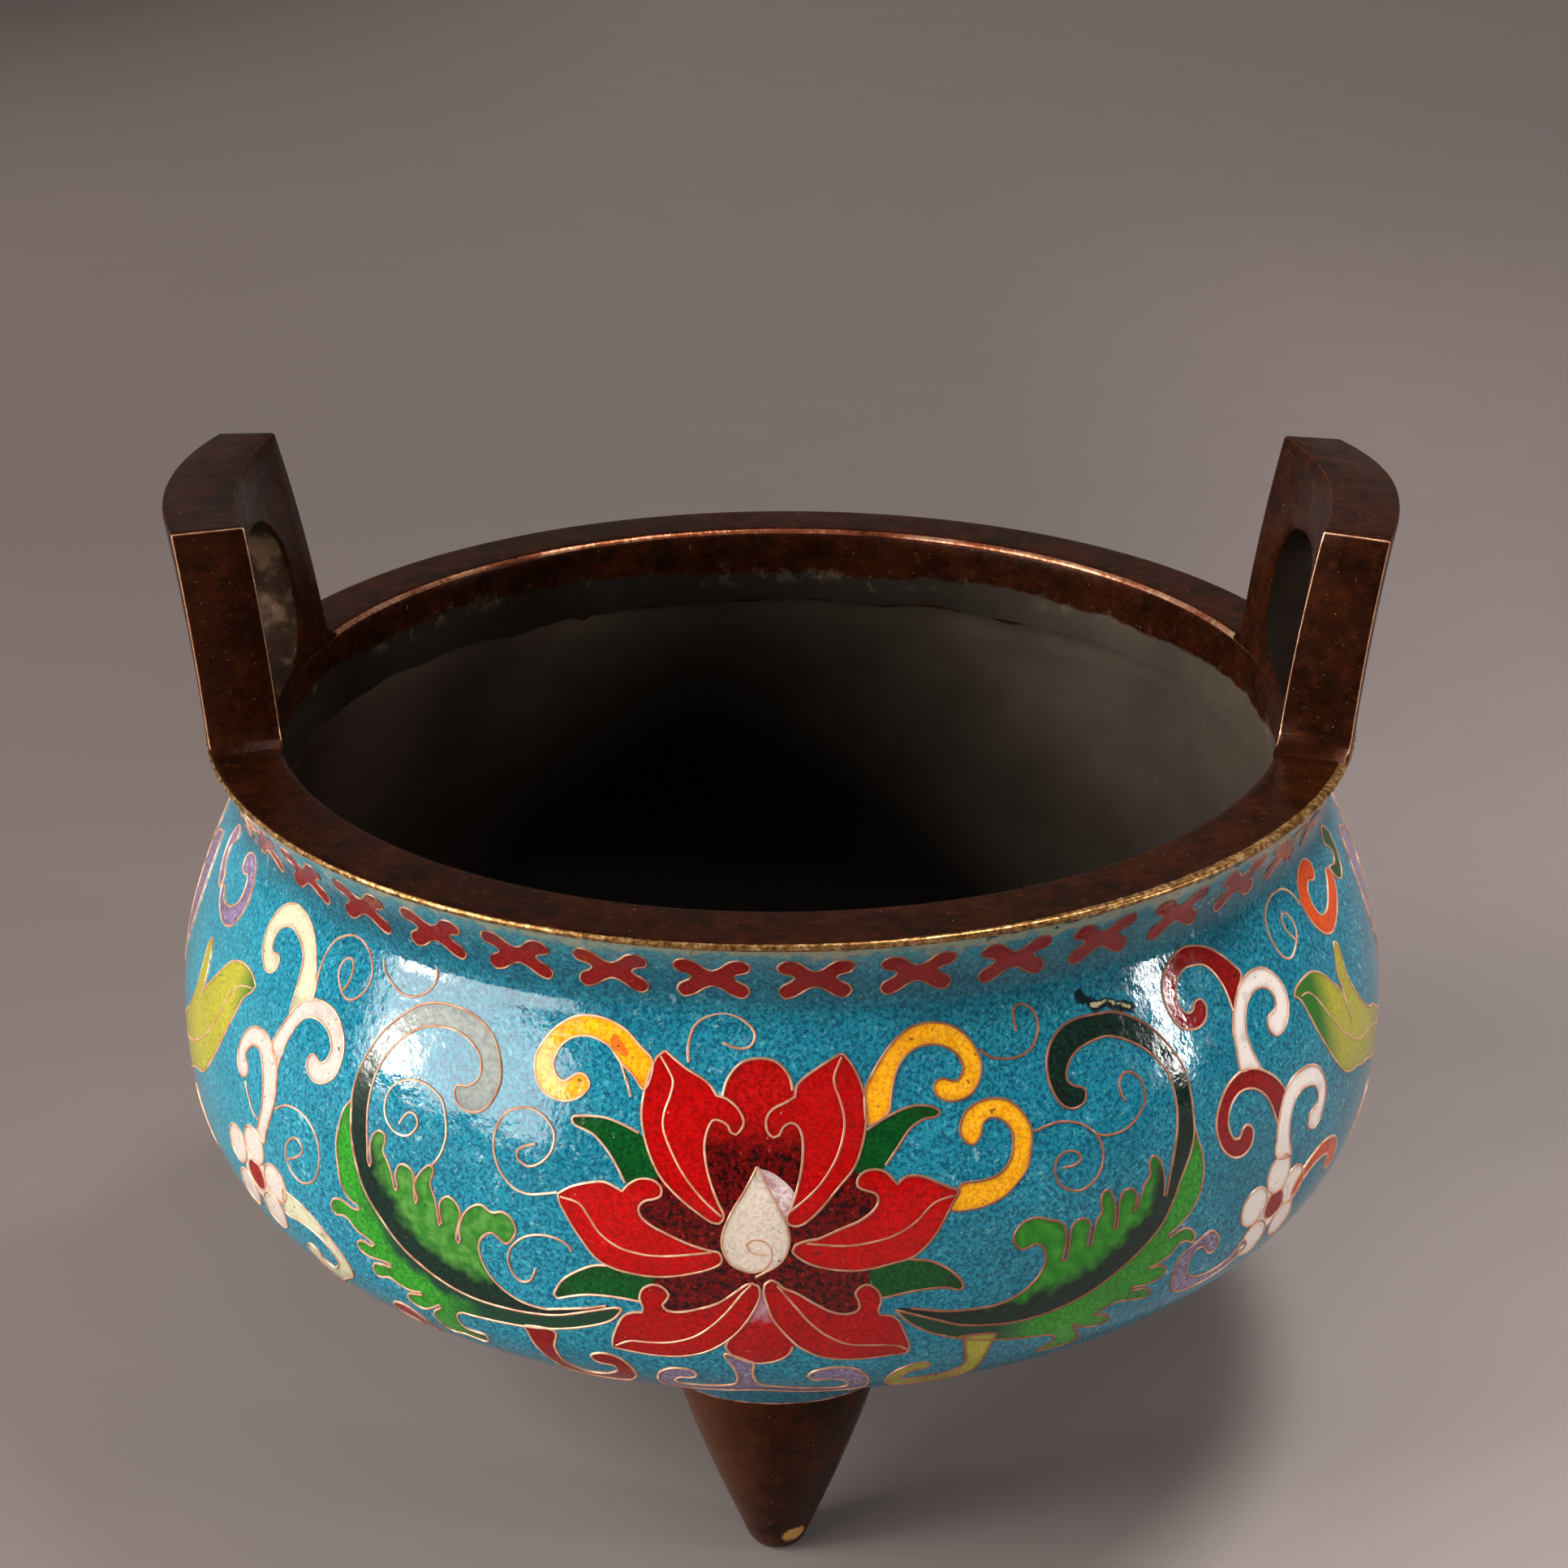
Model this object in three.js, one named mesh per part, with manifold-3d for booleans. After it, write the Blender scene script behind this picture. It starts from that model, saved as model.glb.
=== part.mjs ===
// Cloisonne tripod incense burner: an enamelled copper bowl under a bronze rim ring,
// two upright loop handles pegged into the ring and three cone feet tenoned through the floor.
// Millimetres, +Z up. The origin is on the table, under the middle of the bowl.
// The front flower and the front foot point towards -Y, the handles stand at +X and -X.
import * as THREE from 'three';
import { mergeVertices } from 'three/addons/utils/BufferGeometryUtils.js';
import Module from 'manifold-3d';

const wasm = await Module();
wasm.setup();

// Driving dimensions of the bowl, heights given as drops below the rim's top face
const rimTopHeight = 77.5;
const neckRadius = 57.2;
const neckDrop = 8;
const lipFlare = 2.5;
const lipRadius = neckRadius + lipFlare;
const lipDrop = 1.2;
const bellyRadius = 64.6;
const bellyDrop = 31;
const bowlDrop = 56;
const bellyFullness = 3.2;

// Layers of the bowl wall, from outside to inside
const enamelThickness = 0.8;
const copperThickness = 1;
const liningThickness = 0.6;
const liningEdgeDrop = 11;
const bondGap = 0.1;

// Rim ring: its edge stands out past the lip, its bore lies inside the neck
const rimOverhang = 0.3;
const rimRadius = lipRadius + rimOverhang;
const boreInset = 4.7;
const rimBore = neckRadius - boreInset;
const rimEdgeRound = 0.35;
const collarDrop = neckDrop + 1;
const collarGap = 0.3;

// Handles, with the loop's outline as angles round the ring and heights above the rim
const handleHalfAngle = 16.3;
const handleForwardAngle = 1.2;
const handleHeight = 22.9;
const handleArchRise = 1.5;
const handleFlareOut = 2.3;
const handleFlareIn = 2.9;
const holeHalfAngle = 11.3;
const holeHeight = 16.4;
const holeSill = 1.1;
const holeSquareness = 2.6;
const legPegRadius = 1.1;
const legPegDepth = 4;
const pegGap = 0.3;
const legPegWall = 0.4;

// Feet: three alike, the first one in front
const footNames = ['foot_front', 'foot_rear_right', 'foot_rear_left'];
const firstFootAngle = -90;
const footInset = 22.6;
const footPlaceRadius = bellyRadius - footInset;
const footTipRadius = 2.7;
const footTopRadius = 9.6;
const footTopHeight = 24.5;
const footBlockHeight = 10;
const footSeatGap = 0.3;
const tenonRadius = 3.2;
const tenonRoot = 12;
const tenonGap = 0.3;

// Cells set into the enamel: the gap round them, the lotus's place, the small blossom's size
const inlayGap = 0.3;
const lotusShift = -2.2;
const cutterReach = 4;
const sharpestMiter = 0.4;
const longestMiter = 2;
const blossomRadius = 4.9;
const blossomWave = 0.9;
const blossomPetals = 5;

// Fineness of the faceted surfaces
const aroundSteps = 36;
const shoulderSteps = 3;
const undersideSteps = 5;
const coneSteps = 24;
const holeSteps = 20;
const archSteps = 8;
const blossomSteps = 20;

const degrees = Math.PI / 180;
const colours = {
  bronze: { color: 0x3a2014, roughness: 0.38, metalness: 0.85 },
  copper: { color: 0x9a5a38, roughness: 0.45, metalness: 0.9 },
  lining: { color: 0x1a1917, roughness: 0.7, metalness: 0.1 },
  turquoise: { color: 0x2d829b, roughness: 0.2, metalness: 0 },
  red: { color: 0xa01418, roughness: 0.2, metalness: 0 },
  yellow: { color: 0xc4c23a, roughness: 0.2, metalness: 0 },
  green: { color: 0x3f7a3a, roughness: 0.2, metalness: 0 },
  white: { color: 0xd8d4cc, roughness: 0.2, metalness: 0 },
};

// Outer outline of the bowl from the lip down to the middle of the underside, as [radius, drop]
function bowlOutline() {
  const points = [[lipRadius, lipDrop], [neckRadius, neckDrop]];
  for (let step = 1; step <= shoulderSteps; step += 1) {
    const share = step / shoulderSteps;
    points.push([
      neckRadius + (bellyRadius - neckRadius) * Math.sin(share * Math.PI / 2),
      neckDrop + (bellyDrop - neckDrop) * share,
    ]);
  }
  for (let step = 1; step <= undersideSteps; step += 1) {
    const angle = (step / undersideSteps) * Math.PI / 2;
    points.push([
      step === undersideSteps ? 0 : bellyRadius * Math.cos(angle) ** (2 / bellyFullness),
      bellyDrop + (bowlDrop - bellyDrop) * Math.sin(angle) ** (2 / bellyFullness),
    ]);
  }
  return points;
}

// Point where two lines cross, each given by a point and a direction
function lineCrossing(first, firstWay, second, secondWay) {
  const turn = firstWay[0] * secondWay[1] - firstWay[1] * secondWay[0];
  const gap = [second[0] - first[0], second[1] - first[1]];
  const along = (gap[0] * secondWay[1] - gap[1] * secondWay[0]) / turn;
  return [first[0] + firstWay[0] * along, first[1] + firstWay[1] * along];
}

// The outline moved inwards by a depth, so that a wall keeps its thickness all the way round.
// Its ends stay on the lip's level and on the axis.
function inwardOutline(depth) {
  const points = bowlOutline();
  const sides = points.slice(1).map((point, index) => {
    const way = [point[0] - points[index][0], point[1] - points[index][1]];
    const length = Math.hypot(...way);
    const inward = [-way[1] / length, way[0] / length];
    const side = inward[0] > 0 ? [-inward[0], -inward[1]] : inward;
    return { start: [points[index][0] + side[0] * depth, points[index][1] + side[1] * depth], way };
  });
  const moved = [lineCrossing(sides[0].start, sides[0].way, [0, lipDrop], [1, 0])];
  for (let index = 1; index < sides.length; index += 1) {
    const last = sides[index - 1];
    moved.push(lineCrossing(last.start, last.way, sides[index].start, sides[index].way));
  }
  const final = sides[sides.length - 1];
  moved.push(lineCrossing(final.start, final.way, [0, 0], [0, 1]));
  return moved;
}

// The same outline, starting lower down at a given drop
function outlineBelow(outline, drop) {
  const index = outline.findIndex((point) => point[1] > drop);
  const above = outline[index - 1];
  const below = outline[index];
  const share = (drop - above[1]) / (below[1] - above[1]);
  return [[above[0] + (below[0] - above[0]) * share, drop], ...outline.slice(index)];
}

// A turned body from a closed or axis-to-axis outline of [radius, drop] points
function turned(outline, steps = aroundSteps) {
  const points = outline.map(([radius, drop]) => new THREE.Vector2(radius, rimTopHeight - drop));
  const geometry = new THREE.LatheGeometry(points, steps);
  geometry.rotateX(Math.PI / 2);
  return solidOf(geometry);
}

// A geometry as a solid that faces outwards
function solidOf(geometry) {
  const bare = geometry.clone();
  bare.deleteAttribute('normal');
  bare.deleteAttribute('uv');
  const merged = mergeVertices(bare, 1e-4);
  const places = merged.attributes.position.array;
  const corners = [];
  for (let start = 0; start < merged.index.count; start += 3) {
    const [a, b, c] = merged.index.array.slice(start, start + 3);
    if (a !== b && b !== c && c !== a) corners.push(a, b, c);
  }
  if (signedVolume(places, corners) < 0) corners.reverse();
  return new wasm.Manifold(new wasm.Mesh({
    numProp: 3,
    vertProperties: new Float32Array(places),
    triVerts: new Uint32Array(corners),
  }));
}

function signedVolume(places, corners) {
  const at = (index) => new THREE.Vector3().fromArray(places, index * 3);
  let total = 0;
  for (let start = 0; start < corners.length; start += 3) {
    const [a, b, c] = corners.slice(start, start + 3).map(at);
    total += a.dot(b.cross(c));
  }
  return total / 6;
}

// The two skins of a wall: the outer outline down, then the inner outline back up
function wallBetween(outer, inner) {
  const outside = turned([[0, outer[0][1]], ...outer]);
  const inside = turned([[0, inner[0][1]], ...inner]);
  return { outside, inside };
}

// Bowl surface as a place: angle round the bowl and distance up (+) or down (-) the wall
// from the belly line. Gives the point and the way straight out of the wall.
const wallOutline = bowlOutline();
const bellyIndex = 1 + shoulderSteps;
const wallClimbs = wallOutline.map(() => 0);
for (let index = bellyIndex - 1; index >= 0; index -= 1) {
  wallClimbs[index] = wallClimbs[index + 1] + distance(wallOutline[index], wallOutline[index + 1]);
}
for (let index = bellyIndex + 1; index < wallOutline.length; index += 1) {
  wallClimbs[index] = wallClimbs[index - 1] - distance(wallOutline[index], wallOutline[index - 1]);
}

function distance(first, second) {
  return Math.hypot(second[0] - first[0], second[1] - first[1]);
}

// Way straight out of the wall at one of the outline's corners, between its two sides
function wallOut(index) {
  const before = wallOutline[Math.max(index - 1, 0)];
  const after = wallOutline[Math.min(index + 1, wallOutline.length - 1)];
  return new THREE.Vector2(after[1] - before[1], after[0] - before[0]).normalize();
}

function wallPlace(angle, climb) {
  const index = wallClimbs.findLastIndex((level) => level >= climb);
  const share = (wallClimbs[index] - climb) / (wallClimbs[index] - wallClimbs[index + 1]);
  const [above, below] = [wallOutline[index], wallOutline[index + 1]];
  const radius = above[0] + (below[0] - above[0]) * share;
  const drop = above[1] + (below[1] - above[1]) * share;
  const out = wallOut(index).lerp(wallOut(index + 1), share).normalize();
  const [cosine, sine] = [Math.cos(angle), Math.sin(angle)];
  return {
    point: new THREE.Vector3(radius * cosine, radius * sine, rimTopHeight - drop),
    out: new THREE.Vector3(out.x * cosine, out.x * sine, out.y),
  };
}

// A closed body between two rings of matching points, which follow a flat outline
function bodyBetween(lower, upper, flatOutline) {
  if (THREE.ShapeUtils.isClockWise(flatOutline)) {
    return bodyBetween([...lower].reverse(), [...upper].reverse(), [...flatOutline].reverse());
  }
  const count = lower.length;
  const places = [...lower, ...upper].flatMap((point) => point.toArray());
  const corners = [];
  for (let index = 0; index < count; index += 1) {
    const next = (index + 1) % count;
    corners.push(index, next, count + next, index, count + next, count + index);
  }
  for (const [a, b, c] of THREE.ShapeUtils.triangulateShape(flatOutline, [])) {
    corners.push(a, c, b, count + a, count + b, count + c);
  }
  if (signedVolume(places, corners) < 0) corners.reverse();
  return new wasm.Manifold(new wasm.Mesh({
    numProp: 3,
    vertProperties: new Float32Array(places),
    triVerts: new Uint32Array(corners),
  }));
}

// A cutter that stands through the bowl wall, its outline given on the wall in millimetres
function wallCutter(outline, middleAngle) {
  const places = outline.map((point) => wallPlace(middleAngle + point.x / bellyRadius, point.y));
  const lower = places.map(({ point, out }) => point.clone().addScaledVector(out, -cutterReach));
  const upper = places.map(({ point, out }) => point.clone().addScaledVector(out, cutterReach));
  return bodyBetween(lower, upper, outline);
}

// An outline with every side moved out by the same gap
function grownOutline(outline, gap) {
  const turn = THREE.ShapeUtils.area(outline) > 0 ? 1 : -1;
  const count = outline.length;
  return outline.map((point, index) => {
    const before = outline[(index + count - 1) % count];
    const after = outline[(index + 1) % count];
    const first = point.clone().sub(before).normalize();
    const second = after.clone().sub(point).normalize();
    const miter = first.clone().add(second).normalize();
    const reach = Math.min(1 / Math.max(miter.dot(first), sharpestMiter), longestMiter);
    return point.clone().add(new THREE.Vector2(miter.y, -miter.x).multiplyScalar(turn * gap * reach));
  });
}

// Outlines of a flower's cells on the wall, [across, up] from the middle of the belly line.
// Middle cells are whole; side cells are the right half's, and the left half mirrors them.
const lotus = {
  middle: {
    top_petal: [
      [0, 20.2], [-1.8, 19.8], [-2.9, 18.5], [-2.9, 17.2], [-1.4, 15.9], [0, 14.6],
      [1.4, 15.9], [2.9, 17.2], [2.9, 18.5], [1.8, 19.8],
    ],
    pearl: [
      [0, 10.4], [-1.8, 7], [-2.9, 4], [-2.7, 1.9], [-1.3, 0.6],
      [1.3, 0.6], [2.7, 1.9], [2.9, 4], [1.8, 7],
    ],
    bottom_petal: [
      [0, -3.6], [-1.5, -6], [-2.9, -7.8], [-2.4, -9.3], [0, -10],
      [2.4, -9.3], [2.9, -7.8], [1.5, -6],
    ],
  },
  sides: {
    upper_petal: [
      [8.2, 20.4], [9.8, 17.6], [10.1, 15.2], [9.5, 12.2], [7.3, 8.8], [4.3, 5.7], [3.3, 5.8],
      [3.9, 8.6], [4.2, 11.8], [3.6, 14.1], [2, 13.6], [1.4, 15], [2.9, 16.4], [3.9, 17.8], [6.4, 19.6],
    ],
    side_petal: [
      [18.5, 7], [15.8, 3], [11.6, 0.6], [7.6, 0.3], [3.8, 1.5], [4.2, 3],
      [7.6, 4.1], [10.7, 6.2], [9.7, 8.6], [12.4, 8.4], [15.6, 8.1],
    ],
    lower_petal: [
      [13.9, -9.1], [9.6, -9.5], [5.6, -8.2], [2.6, -4.6], [1.4, -1.6], [3.4, -1.8],
      [7, -3.8], [8.8, -3.4], [9.4, -1.4], [11, -2.2], [11, -4.4], [12.8, -5.4],
    ],
  },
};
const wideFlower = {
  middle: {
    top_petal: [
      [0, 21.4], [-2.6, 20.8], [-4, 19], [-3.8, 17.2], [-2, 15.4],
      [2, 15.4], [3.8, 17.2], [4, 19], [2.6, 20.8],
    ],
    pearl: [
      [0, 12.6], [-2.4, 9], [-3.8, 5.2], [-3.4, 2], [-1.6, 0.2],
      [1.6, 0.2], [3.4, 2], [3.8, 5.2], [2.4, 9],
    ],
    bottom_petal: [
      [0, -5], [-2.2, -8], [-4, -11.4], [-3, -14.2], [0, -15.4], [3, -14.2], [4, -11.4], [2.2, -8],
    ],
  },
  sides: {
    upper_petal: [
      [15.8, 20.4], [18.4, 17], [19.6, 13.4], [18.4, 9.6], [14, 6], [8, 2.8],
      [7.6, 6.4], [8.2, 10.4], [7, 13.6], [5.4, 14.2], [5.8, 16.6], [9.4, 18.8],
    ],
    side_petal: [
      [40.6, 14], [39, 14.8], [35.8, 14.3], [32.6, 11.6], [30.4, 7.8], [30.7, 12], [29.4, 14.6],
      [28.8, 11.2], [26.4, 7.6], [22, 4.8], [15, 2], [8, 0.4], [7.2, -2.4], [13, -4.2],
      [20, -3], [27, -0.6], [33.4, 2.2], [37, 6.8], [39.4, 11.4],
    ],
    lower_petal: [
      [25, -14], [19, -15.2], [11.4, -13.4], [6.2, -9.4], [3.4, -4.8], [5.8, -4],
      [11, -6.4], [16, -7.4], [19.4, -6.2], [21.6, -8.6], [24.4, -10.4],
    ],
  },
};

// The leaf scroll beside each lotus, for its right half, and the place of the blossom beyond it
const leafScroll = [
  [32.2, 13.8], [31, 12.9], [29.4, 13.4], [28.5, 16], [29.2, 18.8], [31.8, 20.5], [36, 20.5],
  [40, 18.6], [43, 15], [44, 10.4], [44.4, 4], [43, -1.4], [41.4, -2.8], [43.4, -4.4], [40.8, -5.4],
  [40.2, -7.4], [37.4, -9.6], [30.6, -10.2], [28, -12.8], [26.2, -10.4], [20, -9], [15.4, -6.4],
  [14.6, -5], [20.4, -5.1], [24.6, -4.2], [26.6, -1.6], [25.4, 0.5], [23.6, 1.6], [25.8, 3.3],
  [29, 1.8], [30.6, 1.8], [33.2, 4.2], [35.4, 3], [38.6, 6], [39.8, 2.8], [41.6, 7.4], [41.8, 12],
  [40, 15.8], [37, 18], [33.6, 18.2], [31, 16.8], [30.6, 15.2],
];
const blossomPlace = [57.4, -5.4];

function blossomOutline() {
  return Array.from({ length: blossomSteps }, (_, step) => {
    const turn = (2 * Math.PI * step) / blossomSteps;
    const radius = blossomRadius + blossomWave * Math.cos(blossomPetals * turn);
    return [blossomPlace[0] + radius * Math.cos(turn), blossomPlace[1] + radius * Math.sin(turn)];
  });
}

const pearlColour = 'white';
const flowers = [
  { side: 'front', angle: -90, cells: lotus, petals: 'red', shift: lotusShift, hasSprays: true },
  { side: 'right', angle: 0, cells: wideFlower, petals: 'yellow', shift: 0, hasSprays: false },
  { side: 'back', angle: 90, cells: lotus, petals: 'red', shift: lotusShift, hasSprays: true },
  { side: 'left', angle: 180, cells: wideFlower, petals: 'yellow', shift: 0, hasSprays: false },
];

// All cells of one flower and of the sprays beside it, each with its name, outline and colour
function flowerCells({ side, cells, petals, shift, hasSprays }) {
  const placed = (corners, half) => (
    corners.map(([across, up]) => new THREE.Vector2(across * half + shift, up))
  );
  const list = Object.entries(cells.middle).map(([cell, corners]) => ({
    name: `flower_${side}_${cell}`,
    outline: placed(corners, 1),
    colour: cell === 'pearl' ? pearlColour : petals,
  }));
  for (const [half, halfName] of [[1, 'right'], [-1, 'left']]) {
    for (const [cell, corners] of Object.entries(cells.sides)) {
      list.push({
        name: `flower_${side}_${cell}_${halfName}`,
        outline: placed(corners, half),
        colour: petals,
      });
    }
    if (!hasSprays) continue;
    list.push({
      name: `leaf_scroll_${side}_${halfName}`,
      outline: placed(leafScroll, half),
      colour: 'green',
    });
    list.push({
      name: `blossom_${side}_${halfName}`,
      outline: placed(blossomOutline(), half),
      colour: 'white',
    });
  }
  return list;
}

// Bowl wall layers and everything that is cut through them
const copperDepth = enamelThickness + bondGap;
const copperInnerDepth = copperDepth + copperThickness;
const liningDepth = copperInnerDepth + bondGap;
const enamelInner = inwardOutline(enamelThickness);
const copperOuter = inwardOutline(copperDepth);
const copperInner = inwardOutline(copperInnerDepth);
const liningOuter = outlineBelow(inwardOutline(liningDepth), liningEdgeDrop);
const liningInner = outlineBelow(inwardOutline(liningDepth + liningThickness), liningEdgeDrop);

function upright(radius, low, high, angle, placeRadius, steps = coneSteps) {
  const geometry = new THREE.CylinderGeometry(radius, radius, high - low, steps);
  geometry.rotateX(Math.PI / 2);
  geometry.translate(
    placeRadius * Math.cos(angle * degrees),
    placeRadius * Math.sin(angle * degrees),
    (low + high) / 2,
  );
  return solidOf(geometry);
}

const feet = footNames.map((name, index) => (
  { name, angle: firstFootAngle + (360 * index) / footNames.length }
));
const tenonHoles = feet.map(({ angle }) => (
  upright(tenonRadius + tenonGap, 0, rimTopHeight - bellyDrop, angle, footPlaceRadius)
));

function copperBowl() {
  const { outside, inside } = wallBetween(copperOuter, copperInner);
  return tenonHoles.reduce((body, hole) => body.subtract(hole), outside.subtract(inside));
}

function innerLining() {
  const { outside, inside } = wallBetween(liningOuter, liningInner);
  return outside.subtract(inside);
}

const enamelLayer = (() => {
  const { outside, inside } = wallBetween(wallOutline, enamelInner);
  return outside.subtract(inside);
})();

const inlays = flowers.flatMap((flower) => flowerCells(flower).map(({ name, outline, colour }) => {
  const middle = flower.angle * degrees;
  const body = enamelLayer.intersect(wallCutter(outline, middle));
  return { name, body, colour, pocket: wallCutter(grownOutline(outline, inlayGap), middle) };
}));

function enamelGround() {
  const pocketed = inlays.reduce((body, inlay) => body.subtract(inlay.pocket), enamelLayer);
  return tenonHoles.reduce((body, hole) => body.subtract(hole), pocketed);
}

// The ring lies on the bowl's lip and its collar hangs inside the neck.
// Its outline runs from the inner top edge outwards and back in along the collar.
function rimOutline() {
  const seat = inwardOutline(copperInnerDepth + collarGap);
  const slope = outlineBelow(seat, neckDrop)[0];
  const foot = outlineBelow(seat, collarDrop)[0];
  return [
    [rimBore + rimEdgeRound, 0],
    [rimRadius - rimEdgeRound, 0],
    [rimRadius, rimEdgeRound],
    [rimRadius, lipDrop],
    [seat[0][0], lipDrop],
    [slope[0], neckDrop],
    [Math.min(slope[0], foot[0]), collarDrop],
    [rimBore, collarDrop],
    [rimBore, rimEdgeRound],
    [rimBore + rimEdgeRound, 0],
  ];
}

const pegPlaceRadius = rimBore + legPegWall + pegGap + legPegRadius;
const pegAngleOffset = (handleHalfAngle + holeHalfAngle) / 2;
function legPegs(side, gap, low, high) {
  const middle = side > 0 ? -handleForwardAngle : 180 + handleForwardAngle;
  return [-pegAngleOffset, pegAngleOffset].map((offset) => (
    upright(legPegRadius + gap, low, high, middle + offset, pegPlaceRadius, coneSteps / 2)
  ));
}

function rimRing() {
  const sockets = [1, -1].flatMap((side) => legPegs(
    side,
    pegGap,
    rimTopHeight - legPegDepth - pegGap,
    rimTopHeight + pegGap,
  ));
  return sockets.reduce((body, socket) => body.subtract(socket), turned(rimOutline()));
}

// A handle is a piece of a flared wall that stands on the ring, cut off radially at both ends,
// with a low arch on top and a rounded hole through it
function radialCutter(outline, side) {
  const middle = side > 0 ? -handleForwardAngle : 180 + handleForwardAngle;
  const place = (radius) => outline.map((point) => new THREE.Vector3(
    radius * Math.cos((middle + point.x) * degrees),
    radius * Math.sin((middle + point.x) * degrees),
    rimTopHeight + point.y,
  ));
  const faceWidth = rimRadius - rimBore;
  const [near, far] = [rimBore - faceWidth, rimRadius + faceWidth];
  return bodyBetween(place(near), place(far), outline);
}

function handle(side) {
  const tall = handleHeight + 2 * handleArchRise;
  const wall = turned([
    [rimBore, 0],
    [rimRadius, 0],
    [rimRadius + handleFlareOut * tall / handleHeight, -tall],
    [rimBore + handleFlareIn * tall / handleHeight, -tall],
    [rimBore, 0],
  ], 2 * aroundSteps);
  const loop = [
    new THREE.Vector2(-handleHalfAngle, -handleArchRise),
    new THREE.Vector2(handleHalfAngle, -handleArchRise),
  ];
  for (let step = 0; step <= archSteps; step += 1) {
    const share = 1 - (2 * step) / archSteps;
    loop.push(new THREE.Vector2(
      handleHalfAngle * share,
      handleHeight + handleArchRise * (1 - share ** 2),
    ));
  }
  const hole = [];
  for (let step = 0; step < holeSteps; step += 1) {
    const turn = (2 * Math.PI * step) / holeSteps;
    const round = (value) => Math.sign(value) * Math.abs(value) ** (2 / holeSquareness);
    hole.push(new THREE.Vector2(
      holeHalfAngle * round(Math.cos(turn)),
      holeSill + (holeHeight / 2) * (1 + round(Math.sin(turn))),
    ));
  }
  const loopBody = wall.intersect(radialCutter(loop, side)).subtract(radialCutter(hole, side));
  const pegs = legPegs(side, 0, rimTopHeight - legPegDepth, rimTopHeight + holeSill / 2);
  return pegs.reduce((body, peg) => body.add(peg), loopBody);
}

// A foot is a cone whose top is cut to the bowl's underside, with a tenon that fills the floor
function foot(angle) {
  const outline = [
    new THREE.Vector2(0, 0),
    new THREE.Vector2(footTipRadius, 0),
    new THREE.Vector2(footTopRadius, footTopHeight),
    new THREE.Vector2(footTopRadius, footTopHeight + footBlockHeight),
    new THREE.Vector2(0, footTopHeight + footBlockHeight),
  ];
  const geometry = new THREE.LatheGeometry(outline, coneSteps);
  geometry.rotateX(Math.PI / 2);
  geometry.translate(
    footPlaceRadius * Math.cos(angle * degrees),
    footPlaceRadius * Math.sin(angle * degrees),
    0,
  );
  const under = inwardOutline(-footSeatGap);
  const cone = solidOf(geometry).subtract(turned([[0, under[0][1]], ...under]));
  const tenonTop = footTopHeight + footBlockHeight;
  const tenon = upright(tenonRadius, tenonRoot, tenonTop, angle, footPlaceRadius);
  const inside = turned([[0, copperInner[0][1]], ...copperInner]);
  return cone.add(tenon).subtract(inside);
}

function meshOf(name, body, colour) {
  const { vertProperties, triVerts } = body.getMesh();
  const geometry = new THREE.BufferGeometry();
  geometry.setAttribute('position', new THREE.BufferAttribute(new Float32Array(vertProperties), 3));
  geometry.setIndex(new THREE.BufferAttribute(new Uint32Array(triVerts), 1));
  geometry.computeVertexNormals();
  const mesh = new THREE.Mesh(geometry, new THREE.MeshStandardMaterial(colours[colour]));
  mesh.name = name;
  return mesh;
}

const group = new THREE.Group();
group.add(meshOf('bowl_copper', copperBowl(), 'copper'));
group.add(meshOf('enamel_ground', enamelGround(), 'turquoise'));
group.add(meshOf('bowl_lining', innerLining(), 'lining'));
group.add(meshOf('rim_ring', rimRing(), 'bronze'));
group.add(meshOf('handle_right', handle(1), 'bronze'));
group.add(meshOf('handle_left', handle(-1), 'bronze'));
for (const { name, angle } of feet) group.add(meshOf(name, foot(angle), 'bronze'));
for (const { name, body, colour } of inlays) group.add(meshOf(name, body, colour));

export default group;
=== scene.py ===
"""Looks of a cloisonne tripod incense burner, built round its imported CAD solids."""
import math

import bpy
from mathutils import Euler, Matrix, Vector, noise
from mathutils.geometry import delaunay_2d_cdt


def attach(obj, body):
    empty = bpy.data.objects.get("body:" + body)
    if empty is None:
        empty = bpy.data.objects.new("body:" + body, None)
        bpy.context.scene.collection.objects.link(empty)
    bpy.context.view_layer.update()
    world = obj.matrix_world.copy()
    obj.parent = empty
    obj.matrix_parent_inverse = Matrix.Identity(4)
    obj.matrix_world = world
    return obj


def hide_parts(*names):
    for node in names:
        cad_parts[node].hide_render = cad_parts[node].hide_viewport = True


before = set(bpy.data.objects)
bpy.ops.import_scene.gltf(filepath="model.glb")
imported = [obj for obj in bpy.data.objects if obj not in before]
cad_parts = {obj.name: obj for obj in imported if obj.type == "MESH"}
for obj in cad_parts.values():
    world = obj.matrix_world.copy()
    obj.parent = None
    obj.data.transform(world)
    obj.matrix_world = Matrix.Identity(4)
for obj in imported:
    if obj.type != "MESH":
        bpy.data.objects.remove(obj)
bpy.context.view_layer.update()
bpy.ops.object.select_all(action="DESELECT")

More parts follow.
